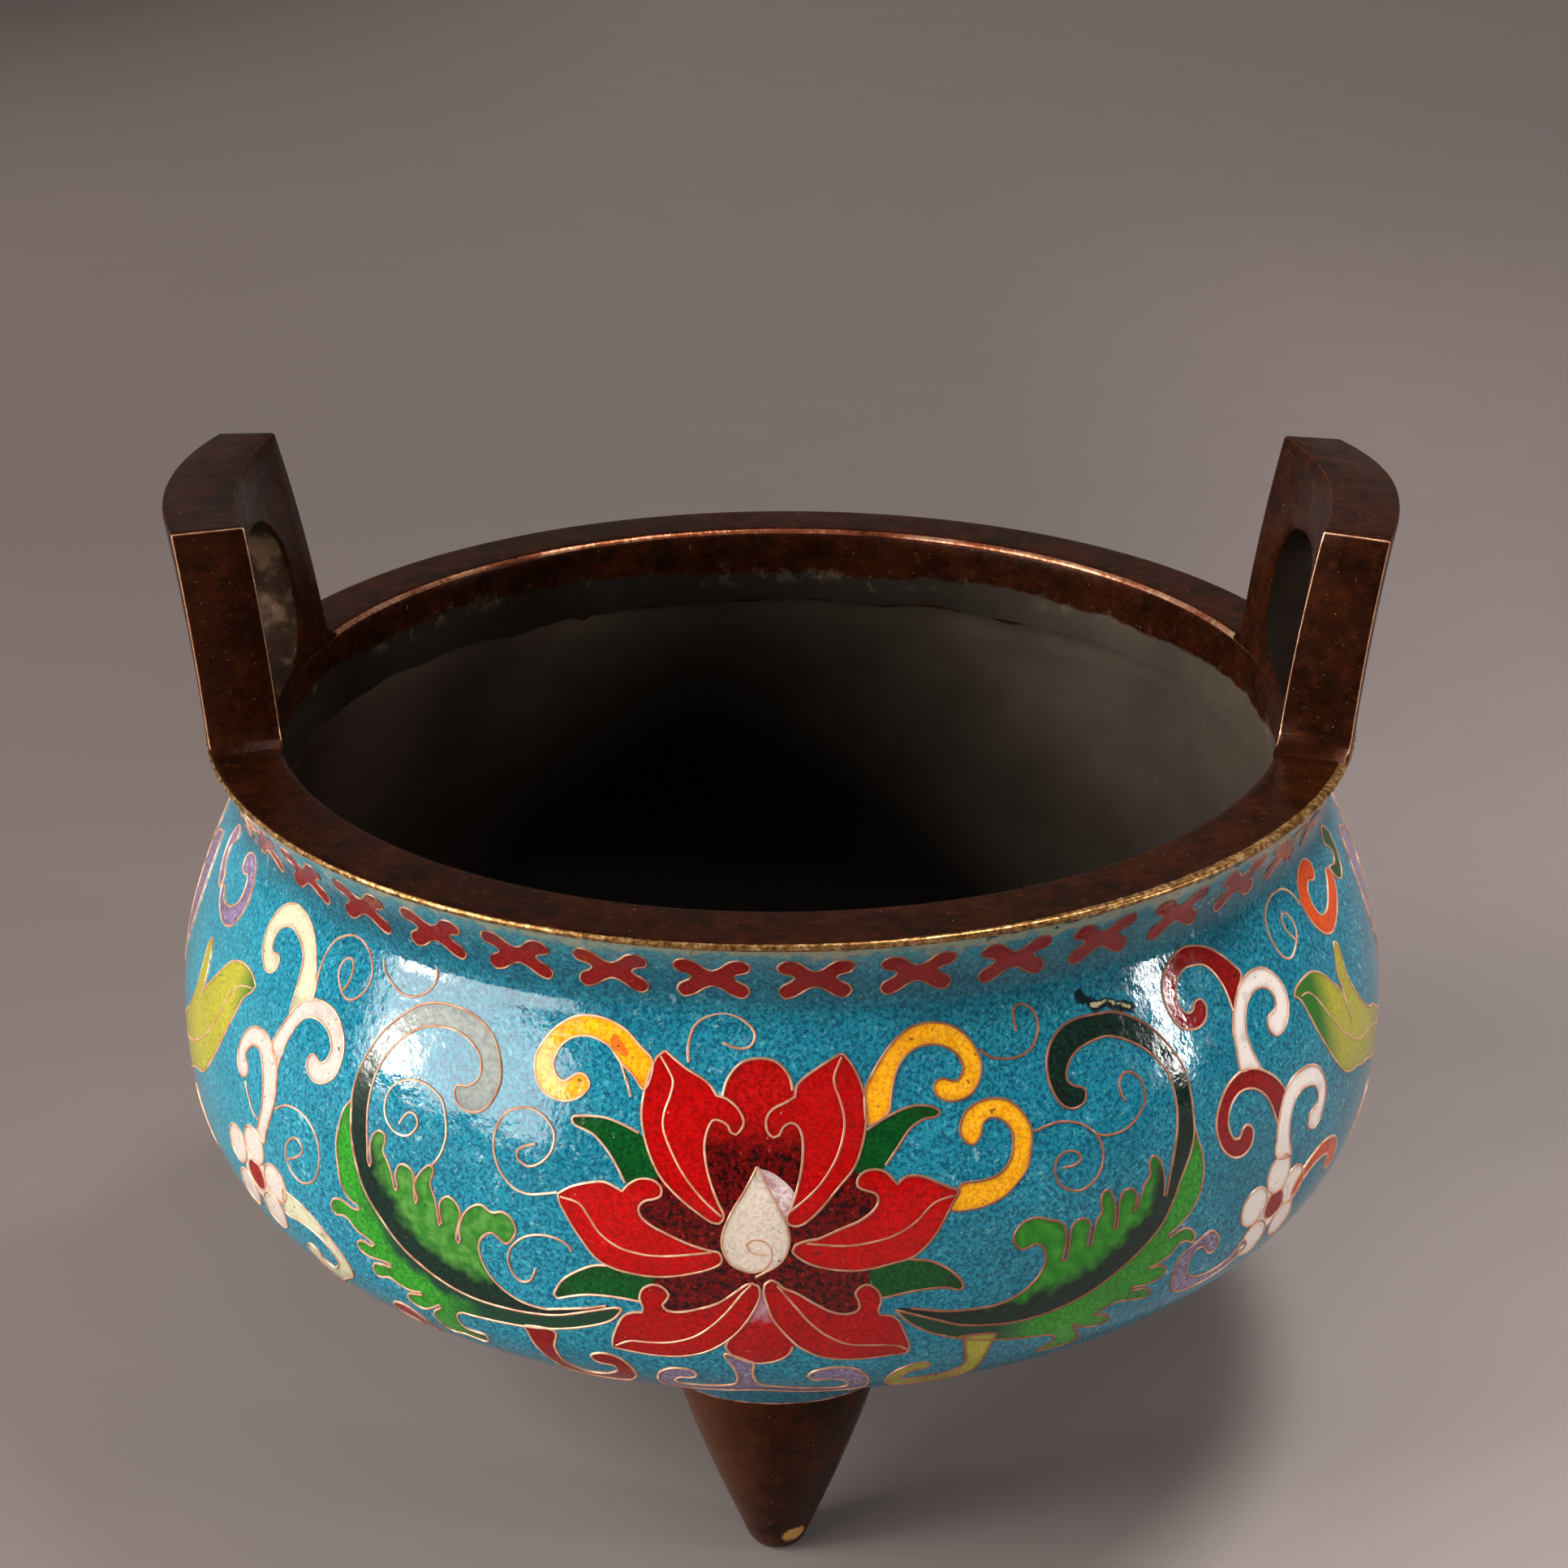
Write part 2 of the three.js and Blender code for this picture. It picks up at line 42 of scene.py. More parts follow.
# Sizes in millimetres, most of them the CAD part's own. Heights are above the floor.
MM = 0.001
RIM_TOP = 77.5
NECK_RADIUS = 57.2
NECK_DROP = 8
LIP_RADIUS = 59.7
LIP_DROP = 0.7
BELLY_RADIUS = 64.6
BELLY_DROP = 31
BOWL_DROP = 56
BELLY_FULLNESS = 3.2
RIM_RADIUS = 60
RIM_BORE = 52.5
FACE_WIDTH = RIM_RADIUS - RIM_BORE
COLLAR_DROP = 9
INNER_ROUND = 1.1
GILT_WIDTH = 0.45
FLAKY_ANGLE = -38
ENAMEL_DEPTH = 0.8
COPPER_DEPTH = 0.9
COPPER_INNER_DEPTH = 1.9
LINING_DEPTH = 2.0
LINING_INNER_DEPTH = 2.6
LINING_EDGE_DROP = 9.7
NICKED_DEPTH = 2.6
# Each handle as its photo shows it: angles from its middle to its ends, how far the inner and
# outer faces lean out at the front and the back end, and its hole
HANDLES = {
    "left": {"front": 16.0, "back": 17.5, "inner_lean": (2.0, 4.8), "outer_lean": (1.8, 4.2),
             "height": 23.2, "rise": -0.3, "slope": 0.1, "hole": 10.6, "sill": 0.4,
             "hole_top": 17.4, "squareness": 2.7},
    "right": {"front": 18.0, "back": 15.6, "inner_lean": (3.0, 3.8), "outer_lean": (2.2, 3.1),
              "height": 23.05, "rise": 0.3, "slope": 0.35, "hole": 9.6, "sill": 0.2,
              "hole_top": 16.4, "squareness": 2.6},
}
LEAN_BOW = 0.4
OUTER_BOW = 0.6
BACK_SLOPE = 0.6
EDGE_WIDTH = 0.36
HANDLE_BOTTOM = -0.6
ARCH_STEPS = 24
HOLE_STEPS = 64
HANDLE_CUT_ANGLES = range(-15, 17, 3)
HANDLE_CUT_HEIGHTS = (0.25, 0.6, 1.05, 1.7, 4, 8, 12, 16, 19, 21.5)
FILLET_HEIGHT = 1.6
FILLET_SPREAD = 1.5
FOOT_PLACE_RADIUS = 42
FOOT_TIP_RADIUS = 3.0
FOOT_TIP_HEIGHT = 1.1
FOOT_TOP_RADIUS = 11.0
FOOT_TOP_HEIGHT = 24.5
FOOT_END_HEIGHT = FOOT_TOP_HEIGHT + 0.2
FOOT_BULGE = 0.4
FOOT_ROLL_DROP = 1.9
FOOT_STEPS = 72
FOOT_FIT_SHARE = 0.6
HALF_ROUND = math.pi * BELLY_RADIUS
WIRE_RADIUS = 0.15
FLORET_WIRE_RADIUS = 0.12
FOOT_WIRE_RADIUS = 0.22
WIRE_SINK = 0.03
PLATE_SINK = 0.3
PLATE_SPACING = 1.2
PLATE_MARGIN = 0.35
LINE_STEP = 0.4
LIP_STEPS = 8
BELLY_STEPS = 40
UNDER_STEPS = 90
BELLY_INDEX = LIP_STEPS + BELLY_STEPS


# The bowl's wall

def wall_profile():
    """The wall's outside from the lip to the middle of the floor, (radius, height)."""
    profile = []
    for steps, first, last, top, bottom in (
            (LIP_STEPS, LIP_RADIUS, NECK_RADIUS, LIP_DROP, NECK_DROP),
            (BELLY_STEPS, NECK_RADIUS, BELLY_RADIUS, NECK_DROP, BELLY_DROP)):
        for step in range(steps):
            share = step / steps
            profile.append((first + (last - first) * math.sin(share * math.pi / 2),
                            RIM_TOP - top - (bottom - top) * share))
    power = 2 / BELLY_FULLNESS
    for step in range(UNDER_STEPS + 1):
        turn = step / UNDER_STEPS * math.pi / 2
        radius = BELLY_RADIUS * math.cos(turn) ** power if step < UNDER_STEPS else 0
        profile.append((radius, RIM_TOP - BELLY_DROP
                        - (BOWL_DROP - BELLY_DROP) * math.sin(turn) ** power))
    return profile


PROFILE = wall_profile()
CLIMBS = [0.0] * len(PROFILE)
for index in range(BELLY_INDEX - 1, -1, -1):
    CLIMBS[index] = CLIMBS[index + 1] + math.dist(PROFILE[index], PROFILE[index + 1])
for index in range(BELLY_INDEX + 1, len(PROFILE)):
    CLIMBS[index] = CLIMBS[index - 1] - math.dist(PROFILE[index], PROFILE[index - 1])


def wall_way_out(index):
    """Way straight out of the wall at a profile point, (out, up)."""
    before = PROFILE[max(index - 1, 0)]
    after = PROFILE[min(index + 1, len(PROFILE) - 1)]
    out, up = before[1] - after[1], after[0] - before[0]
    length = math.hypot(out, up)
    return out / length, up / length


WAYS_OUT = [wall_way_out(index) for index in range(len(PROFILE))]
WAYS_OUT[-1] = (0.0, -1.0)


def wall_slice(climb, lift):
    """Radius and height of the point at that climb from the belly line, lifted off the wall."""
    low, high = 0, len(CLIMBS) - 1
    while high - low > 1:
        middle = (low + high) // 2
        if CLIMBS[middle] >= climb:
            low = middle
        else:
            high = middle
    share = min(max((CLIMBS[low] - climb) / (CLIMBS[low] - CLIMBS[high]), 0), 1)
    radius, height, out, up = [start + (end - start) * share for start, end in
                               zip(PROFILE[low] + WAYS_OUT[low], PROFILE[high] + WAYS_OUT[high])]
    length = math.hypot(out, up)
    return radius + lift * out / length, height + lift * up / length


def wall_point(across, climb, lift=0.0):
    """Point in metres on the wall. Across runs to the right from the middle of the front."""
    radius, height = wall_slice(climb, lift)
    turn = across / BELLY_RADIUS
    return Vector((radius * math.sin(turn), -radius * math.cos(turn), height)) * MM


# Making meshes

def in_scene(name, data):
    thing = bpy.data.objects.new(name, data)
    bpy.context.scene.collection.objects.link(thing)
    return thing


def mesh_piece(name, places, faces, edges=()):
    mesh = bpy.data.meshes.new(name)
    mesh.from_pydata(places, edges, faces)
    mesh.update()
    return in_scene(name, mesh)


def pick(piece):
    bpy.ops.object.select_all(action="DESELECT")
    piece.select_set(True)
    bpy.context.view_layer.objects.active = piece


def face_outwards():
    bpy.ops.mesh.normals_make_consistent(inside=False)


def in_edit_mode(piece, *steps):
    """Runs edit mode operators on all of a piece's mesh."""
    pick(piece)
    bpy.ops.object.mode_set(mode="EDIT")
    bpy.ops.mesh.select_all(action="SELECT")
    for step in steps:
        step()
    bpy.ops.object.mode_set(mode="OBJECT")


def smooth(piece, angle=40):
    pick(piece)
    bpy.ops.object.shade_smooth_by_angle(angle=math.radians(angle))
    piece.select_set(False)


def turned_piece(name, outline, steps, closed=True):
    """A body turned about the upright axis from an outline of (radius, height)."""
    count = len(outline)
    last = count if closed else count - 1
    piece = mesh_piece(name, [(radius * MM, 0, height * MM) for radius, height in outline], [],
                       [(index, (index + 1) % count) for index in range(last)])
    in_edit_mode(
        piece,
        lambda: bpy.ops.mesh.spin(steps=steps, angle=2 * math.pi, center=(0, 0, 0), axis=(0, 0, 1)),
        lambda: bpy.ops.mesh.select_all(action="SELECT"),
        lambda: bpy.ops.mesh.remove_doubles(threshold=0.000002),
        face_outwards,
    )
    return piece


def finished(piece, material, slot, *nodes):
    """Gives a piece its material, says what it rides on and hides the CAD nodes it stands for."""
    piece.data.materials.clear()
    piece.data.materials.append(material)
    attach(piece, "root")
    if nodes:
        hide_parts(*nodes)
    return piece


# Outlines drawn on the wall

def flowing(points, closed):
    """Points along a smooth line through the given ones. A point given twice is a corner."""
    count = len(points)
    line = []
    for index in range(count if closed else count - 1):
        start, end = points[index], points[(index + 1) % count]
        gap = math.dist(start, end)
        if gap < 1e-6:
            continue
        before = points[(index - 1) % count] if closed or index else start
        after = points[(index + 2) % count] if closed or index + 2 < count else end
        parts = max(1, round(gap / LINE_STEP))
        for part in range(parts):
            t = part / parts
            line.append(tuple(
                0.5 * (2 * s + (e - b) * t + (2 * b - 5 * s + 4 * e - a) * t * t
                       + (3 * s - b - 3 * e + a) * t ** 3)
                for b, s, e, a in zip(before, start, end, after)))
    if not closed:
        line.append(points[-1])
    return line


def nearest(point, line):
    return min(math.dist(point, spot) for spot in line)


def inside(point, outline):
    x, y = point
    found = False
    for (x1, y1), (x2, y2) in zip(outline, outline[1:] + outline[:1]):
        if (y1 > y) != (y2 > y) and x < (x2 - x1) * (y - y1) / (y2 - y1) + x1:
            found = not found
    return found


def enamel_plate(rim, lift):
    """A thin closed plate on the wall: its places, faces and flat places."""
    low = [min(point[side] for point in rim) for side in (0, 1)]
    high = [max(point[side] for point in rim) for side in (0, 1)]
    middle = []
    row = 0
    y = low[1] + PLATE_SPACING / 2
    while y < high[1]:
        x = low[0] + (PLATE_SPACING / 2 if row % 2 else 0)
        while x < high[0]:
            if inside((x, y), rim) and nearest((x, y), rim) > PLATE_MARGIN:
                middle.append((x, y))
            x += PLATE_SPACING
        y += PLATE_SPACING * 0.87
        row += 1
    flat, _, faces, _, _, _ = delaunay_2d_cdt(
        [Vector(point) for point in rim + middle], [], [list(range(len(rim)))], 1, 1e-5)
    faces = [list(face) for face in faces]
    sides = {side: True for face in faces for side in zip(face, face[1:] + face[:1])}
    count = len(flat)
    places = [wall_point(point.x, point.y, height) for height in (lift, -PLATE_SINK)
              for point in flat]
    walls = [[second, first, first + count, second + count]
             for first, second in sides if (second, first) not in sides]
    under = [[corner + count for corner in reversed(face)] for face in faces]
    return places, faces + walls + under, [tuple(point) for point in flat]


def keep(piece, name, values):
    """Keeps a value for each of a piece's places, for its material to read."""
    marks = piece.data.attributes.new(name, "FLOAT", "POINT")
    marks.data.foreach_set("value", values)


def enamel_piece(name, outlines, lift, wire=None):
    """One piece made of the plates inside the outlines, with their flat places as its UV map.

    Each place keeps its distance in mm from its outline, and from the wire if one is given.
    """
    places, faces, flat, from_edge = [], [], [], []
    for outline in outlines:
        rim = flowing(outline, True)
        some_places, some_faces, some_flat = enamel_plate(rim, lift)
        first = len(places)
        places += some_places
        flat += some_flat * 2
        from_edge += [nearest(point, rim) for point in some_flat] * 2
        faces += [[corner + first for corner in face] for face in some_faces]
    piece = mesh_piece(name, places, faces)
    layer = piece.data.uv_layers.new(name="wall")
    for loop in piece.data.loops:
        layer.data[loop.index].uv = flat[loop.vertex_index]
    keep(piece, "from_edge", from_edge)
    if wire:
        line = flowing(wire, False)
        keep(piece, "from_wire", [nearest(point, line) for point in flat])
    smooth(piece)
    return piece


def add_spline(curve, places, closed):
    spline = curve.splines.new("POLY")
    spline.points.add(len(places) - 1)
    for spot, place in zip(spline.points, places):
        spot.co = (*place, 1)
    spline.use_cyclic_u = closed


def wire_piece(name, lines, radius, rounding=1):
    """Wires along lines of places in metres, each (places, closed)."""
    curve = bpy.data.curves.new(name, "CURVE")
    curve.dimensions = "3D"
    curve.bevel_depth = radius * MM
    curve.bevel_resolution = rounding
    curve.use_fill_caps = True
    for places, closed in lines:
        add_spline(curve, places, closed)
    piece = in_scene(name, curve)
    pick(piece)
    bpy.ops.object.convert(target="MESH")
    in_edit_mode(piece, lambda: bpy.ops.mesh.remove_doubles(threshold=0.0000005), face_outwards)
    smooth(piece, 60)
    return piece


def mirrored(half):
    """A whole outline from its left half."""
    return half + [(-across, climb) for across, climb in reversed(half) if across]


# The pattern, as (across, climb) in millimetres on the wall

PETALS = {
    "upper_petal_left": [
        (-11.35, 20.56), (-11.35, 20.56), (-9.3, 19.2), (-7.5, 18.3), (-6.65, 17.6), (-6.2, 16.9),
        (-6.2, 16.9), (-5.2, 16.65), (-4.15, 15.85), (-3.56, 14.8), (-3.7, 14.1), (-4.24, 13.5),
        (-4.74, 13.7), (-5.03, 14.3), (-5.76, 14.7), (-6.44, 14.7), (-6.9, 13.9), (-7.15, 12.5),
        (-6.94, 10.7), (-6.44, 8.94), (-5.76, 7.2), (-5.3, 6.35), (-5.3, 5.7), (-5.76, 5.3),
        (-6.35, 5.4), (-7.5, 6.15), (-9.3, 7.5), (-11.06, 9.24), (-12.24, 11.3), (-12.97, 13.35),
        (-13.24, 15.1), (-13.1, 16.9), (-12.7, 18.65), (-12.1, 20)],
    "upper_petal_right": [
        (5.7, 20.56), (5.7, 20.56), (4.24, 19.8), (2.5, 18.8), (1.5, 17.9), (1.3, 16.9), (1.3, 16.9),
        (0.4, 16.4), (-0.76, 15.85), (-1.4, 15), (-1.35, 13.9), (-0.76, 13.3), (-0.24, 13.5),
        (0.12, 14.2), (0.85, 14.6), (1.5, 14.3), (1.9, 13.35), (1.94, 11.9), (1.74, 10.1),
        (1.3, 8.35), (0.85, 6.9), (0.5, 6.2), (0.47, 5.56), (1, 5.2), (1.9, 5.35), (3.35, 6.6),
        (5.1, 8.65), (6.6, 10.4), (7.4, 12.3), (7.85, 14.2), (7.97, 16), (7.6, 17.8), (6.9, 19.4),
        (6.06, 20.5)],
    "side_petal_left": [
        (-20.7, 6.5), (-20.7, 6.5), (-19.6, 7.3), (-18.1, 7.9), (-16.5, 8.26), (-15.5, 8),
        (-14.6, 7.6), (-14.6, 7.6), (-14, 8.35), (-13, 8.94), (-11.8, 8.94), (-11.06, 8.4),
        (-11, 7.6), (-11.65, 7.2), (-12.4, 7), (-13, 6.4), (-12.9, 5.56), (-11.9, 4.7),
        (-10.2, 3.9), (-8.1, 3.06), (-6.35, 2.6), (-5.7, 2.5), (-5.4, 1.9), (-5.6, 1.3),
        (-6.65, 0.7), (-8.1, 0.2), (-9.9, -0.26), (-11.65, -0.47), (-13.4, -0.4), (-15.2, -0.1),
        (-16.9, 0.7), (-18.4, 2.5), (-19.6, 4.24), (-20.5, 5.7)],
    "side_petal_right": [
        (16.3, 7.3), (16.3, 7.3), (14.8, 8.06), (13.06, 9), (11.9, 9.24), (11.15, 9.1),
        (10.56, 8.6), (10.56, 8.6), (10.1, 9.1), (9.5, 9.8), (8.65, 10.1), (7.6, 10), (6.94, 9.4),
        (6.9, 8.65), (7.6, 8.26), (8.5, 7.9), (8.74, 7.2), (8.2, 6.3), (6.9, 5.4), (5.1, 4.7),
        (3.35, 3.94), (2.2, 3.74), (1.15, 3.3), (0.94, 2.76), (1.3, 2.24), (2.47, 1.44),
        (4.24, 0.85), (6.3, 0.56), (8.06, 0.65), (9.8, 1), (11.7, 1.44), (13.06, 2.47),
        (14.24, 3.94), (15.26, 5.7), (16.15, 7)],
    "lower_petal_left": [
        (-15.9, -9.15), (-15.9, -9.15), (-15.8, -8.1), (-15.2, -6.35), (-14.6, -5.2),
        (-13.7, -4.65), (-12.8, -4.5), (-12.8, -4.5), (-12.7, -3.85), (-13, -3), (-12.7, -1.94),
        (-11.8, -1.35), (-10.9, -1.5), (-10.3, -2.24), (-10.6, -3), (-10.9, -3.4), (-10.5, -4),
        (-9.3, -4.06), (-7.5, -3.56), (-5.76, -2.8), (-4.3, -1.65), (-3.26, -0.76), (-2.7, -0.6),
        (-2.18, -0.82), (-2, -1.65), (-2.24, -2.7), (-3, -4.3), (-4.15, -6.06), (-5.76, -7.7),
        (-7.5, -8.85), (-9.6, -9.53), (-11.9, -9.7), (-14, -9.53), (-15.8, -9.3)],
    "lower_petal_right": [
        (11.7, -9.15), (11.7, -9.15), (11.7, -8.26), (11.15, -6.65), (10.56, -5.2), (9.8, -4.6),
        (8.9, -4.44), (8.9, -4.44), (8.7, -3.85), (8.94, -2.8), (8.65, -1.8), (7.9, -1.1),
        (7.2, -1.1), (6.6, -1.8), (6.8, -2.5), (7, -3.2), (6.7, -3.85), (5.56, -4.06),
        (4.24, -3.65), (2.76, -2.7), (1.3, -1.65), (0.1, -1.06), (-0.47, -0.47), (-1.06, -0.24),
        (-1.5, -0.6), (-1.65, -1.35), (-1.4, -2.7), (-0.76, -4.6), (0.4, -6.35), (1.6, -7.8),
        (3.35, -9), (5.4, -9.6), (7.76, -9.7), (9.8, -9.53), (11.5, -9.44)],
}
PETAL_RIBS = [
    [(-11.8, 20.1), (-10.9, 18.9), (-10.4, 17.9), (-10.6, 16.6), (-11.06, 15.1), (-11.06, 13.65),
     (-10.3, 11.9), (-9, 9.7), (-7.24, 7.6), (-5.47, 6)],
    [(5.85, 20.3), (5.1, 18.8), (5.06, 17.8), (5.56, 16.3), (5.85, 14.8), (5.7, 13.35),
     (4.97, 11.3), (3.65, 9.24), (2.2, 7.76), (0.56, 6.44)],
    [(-20.5, 6.24), (-18.7, 5.94), (-17.7, 4.8), (-16.65, 3.35), (-14.9, 2.2), (-12.8, 1.74),
     (-10.8, 1.74), (-8.4, 2.1), (-6.35, 2.47)],
    [(16.1, 6.94), (14.5, 6.74), (13.5, 6.24), (12.2, 4.97), (10.4, 3.9), (8.35, 3.35), (6, 3.1),
     (3.65, 3.3), (2.2, 3.5)],
    [(-15.6, -9), (-14.15, -8.1), (-12.2, -8), (-10.2, -7.7), (-8.1, -6.8), (-6.35, -5.3),
     (-4.9, -3.56), (-3.7, -1.8), (-2.8, -0.76)],
    [(-0.47, -0.76), (0.26, -1.8), (1.3, -3.26), (2.6, -5.03), (4.24, -6.6), (6, -7.6),
     (7.76, -7.9), (9.5, -8.06), (10.7, -8.35), (11.6, -9)],
]
HEART_ARC = [(-5.6, 16.9), (-5.2, 18.35), (-4, 19.8), (-2.24, 20.3), (-0.47, 20), (0.7, 18.8),
             (1.06, 17.5)]
HEART = HEART_ARC + [
    (2.5, 16.6), (4.6, 14.5), (5.2, 11.6), (6.6, 10.2), (7.6, 9.3), (9.3, 8.2), (9.2, 5.6),
    (8.2, 3), (8, 0.6), (8, -1.3), (7.9, -3), (7, -4.8), (4.5, -5.2), (1.5, -4.2), (-0.9, -3.6),
    (-2, -3), (-3.2, -4), (-5, -5), (-8, -5.4), (-11.2, -4.8), (-12, -2.5), (-11.7, -1.1),
    (-11.5, 0.4), (-12, 2.6), (-13.4, 4.8), (-13.5, 6.6), (-12.3, 8), (-11.4, 9.6), (-11.8, 12.4),
    (-11.4, 14.8), (-9.5, 16.6), (-7.4, 17.2)]
PEARL = [
    (-2.24, 10.65), (-2.24, 10.65), (-1.65, 9.5), (-0.76, 7.76), (0.12, 6), (0.56, 4.8),
    (0.65, 3.65), (0.26, 2.2), (-0.47, 1.3), (-1.5, 0.75), (-3.1, 0.6), (-4.3, 1.15), (-5, 2),
    (-5.4, 3.35), (-5.2, 4.8), (-4.44, 6.6), (-3.4, 8.35)]
PEARL_WIRES = [
    PEARL[:1] + PEARL[:9:-1] + [
        (-2.1, 0.7), (-1.2, 1.44), (-0.9, 2.5), (-1.2, 3.35), (-1.94, 3.85), (-2.76, 3.8),
        (-3.2, 3.35), (-2.97, 2.8), (-2.4, 2.5), (-1.5, 2.4)],
    PEARL[1:9] + [(-1.5, 0.65), (-2.4, 0.06)],
]
PEARL_SHADE = [(-2, 10.5), (-2, 10.5), (-0.8, 10.1), (0.6, 9), (1.2, 7.9), (0.8, 6.4), (0.3, 5.8),
               (-0.2, 6.4), (-0.9, 7.9)]
BOTTOM_PETAL = [
    (-1.85, -1.2), (-2.3, -3), (-3.2, -4.9), (-4.6, -6.3), (-5.1, -7.2), (-5.1, -8.1),
    (-4.74, -8.85), (-3.4, -9.7), (-2.24, -10), (-0.5, -9.6), (0.56, -8.7), (1.1, -7.6),
    (0.4, -6), (-0.6, -4.4), (-1.3, -2.6), (-1.6, -1.2)]
BOTTOM_ARC = [(-4.9, -6.9), (-5.2, -7.8)] + BOTTOM_PETAL[6:11] + [(0.94, -7.7)]
LEAVES = [
    [(-13.35, 13.06), (-14.9, 13.65), (-16.9, 14.1), (-19.3, 13.9), (-19.9, 13.65), (-19.9, 13.65),
     (-19.6, 13.06), (-17.8, 12.5), (-16.35, 11.3), (-15.2, 9.8), (-14.4, 8.6), (-13.5, 8.4),
     (-12, 8.8), (-11.2, 9.6), (-11.8, 11.6)],
    [(8.65, 14.1), (9.8, 14.7), (11.3, 15.26), (12.76, 15.5), (14.2, 15.26), (15, 14.7), (15, 14.7),
     (14.5, 14.3), (13.35, 14.2), (12, 13.5), (10.7, 11.9), (9.5, 10.4), (8.8, 9.7), (7.4, 9.8),
     (6.6, 10.4), (7, 12.4)],
    [(-14.6, 0.4), (-16.2, 0.1), (-17.2, -0.1), (-18.7, -0.9), (-20.2, -2.1), (-21, -3.4),
     (-21.2, -4), (-21.2, -4), (-20.9, -4.35), (-19.6, -3.85), (-18.1, -3.4), (-16.35, -3.2),
     (-14.6, -3.2), (-13, -3.35), (-12, -2.6), (-11.6, -1), (-11.8, 0)],
    [(9.9, 1.4), (11.9, 1.2), (13.35, 0.85), (14.8, 0), (16.15, -1.35), (16.6, -2.4), (16.6, -2.4),
     (16.3, -2.7), (14.8, -2.2), (13.06, -2.1), (11.3, -2.24), (9.1, -2.6), (8.3, -2.2),
     (7.9, -1), (8, 0.8)],
]
LEAF_WIRES = [
    LEAVES[0][:5] + LEAVES[0][6:10] + [(-14.4, 8.4)],
    [(7.9, 13.7)] + LEAVES[1][:6] + LEAVES[1][7:12],
    [(-16, 0.1)] + LEAVES[2][2:7] + LEAVES[2][8:14],
    [(11.5, 1.3)] + LEAVES[3][2:6] + LEAVES[3][7:11] + [(9, -2.6)],
]
YELLOW_HOOKS = [
    [(7.9, 17), (8.35, 18.06), (9.5, 19.7), (11, 21.3), (12.76, 22.4), (14.8, 22.7),
     (16.9, 22.24), (18.5, 21), (19.5, 19.1), (19.4, 17.5), (18.35, 16), (16.9, 15.5),
     (15.56, 15.65), (14.76, 16.3), (14.6, 16.94), (15, 17.5), (15.7, 17.6), (16.6, 17.24),
     (17.3, 17.5), (17.7, 18.35), (17.3, 19.5), (16.15, 20.4), (14.5, 20.76), (12.76, 20.4),
     (11.4, 19.2), (10.65, 17.5), (10.3, 15.85), (10, 15), (8.65, 14.2), (7.9, 14.4)],
    [(-12.5, 19.4), (-14, 20.85), (-15.76, 22.2), (-18.1, 22.9), (-20.5, 22.8), (-22.2, 21.9),
     (-23.4, 20.7), (-24.4, 18.8), (-24.2, 16.9), (-23.1, 15.5), (-21.25, 15), (-19.7, 15.4),
     (-18.75, 16.3), (-18.6, 16.9), (-19.06, 17.6), (-19.8, 17.7), (-20.5, 17.25),
     (-21.1, 16.8), (-21.9, 17.1), (-22.5, 18.2), (-22.03, 19.75), (-20.8, 20.8),
     (-19.06, 21.1), (-17.5, 20.7), (-16.9, 20.4), (-15.76, 19.2), (-14.4, 18.2), (-13.1, 17)],
    [(16.5, 7.9), (18.7, 7.94), (20.25, 8.3), (21.3, 9.3), (21.8, 10.7), (21.7, 12.25),
     (20.7, 13.3), (19.6, 13.5), (19, 13), (18.7, 12.1), (18.06, 11.4), (17.3, 11.6),
     (16.75, 12.6), (17, 13.65), (17.75, 14.6), (19, 15.1), (20.25, 15.2), (21.8, 14.75),
     (23.06, 13.5), (23.75, 11.9), (23.6, 10.4), (23.06, 8.5), (21.8, 7.1), (20.25, 6),
     (18.06, 5.44), (15.4, 5.6), (16.1, 7)],
]
HOOK_ROOT_WIRE = [(-16.9, 20.4), (-15.76, 19.2), (-15.2, 18.06), (-14.7, 17), (-14.4, 16.2)]
SCROLL_BACK_LEFT = [
    (-32.5, 13.65), (-32.5, 13.65), (-32, 12.7), (-30.6, 12.2), (-29.06, 12.7), (-28.1, 14.1),
    (-27.75, 16), (-28.3, 17.9), (-29.5, 19.6), (-31.6, 20.75), (-34.06, 21.2), (-36.6, 21),
    (-38.75, 20.2), (-40.6, 18.65), (-42.2, 16.9), (-43.4, 14.75), (-44.2, 12.56), (-44.5, 10.4),
    (-44.3, 8.2), (-43.9, 6), (-43.1, 3.5), (-41.9, 1), (-40, -1.3), (-37.8, -3.4),
    (-35.3, -4.9), (-32.5, -6.1), (-29.7, -6.75), (-26.9, -6.9), (-24.06, -6.8), (-21.1, -6.35),
    (-18.1, -5.3), (-15.5, -4.4), (-14.7, -4.44)]
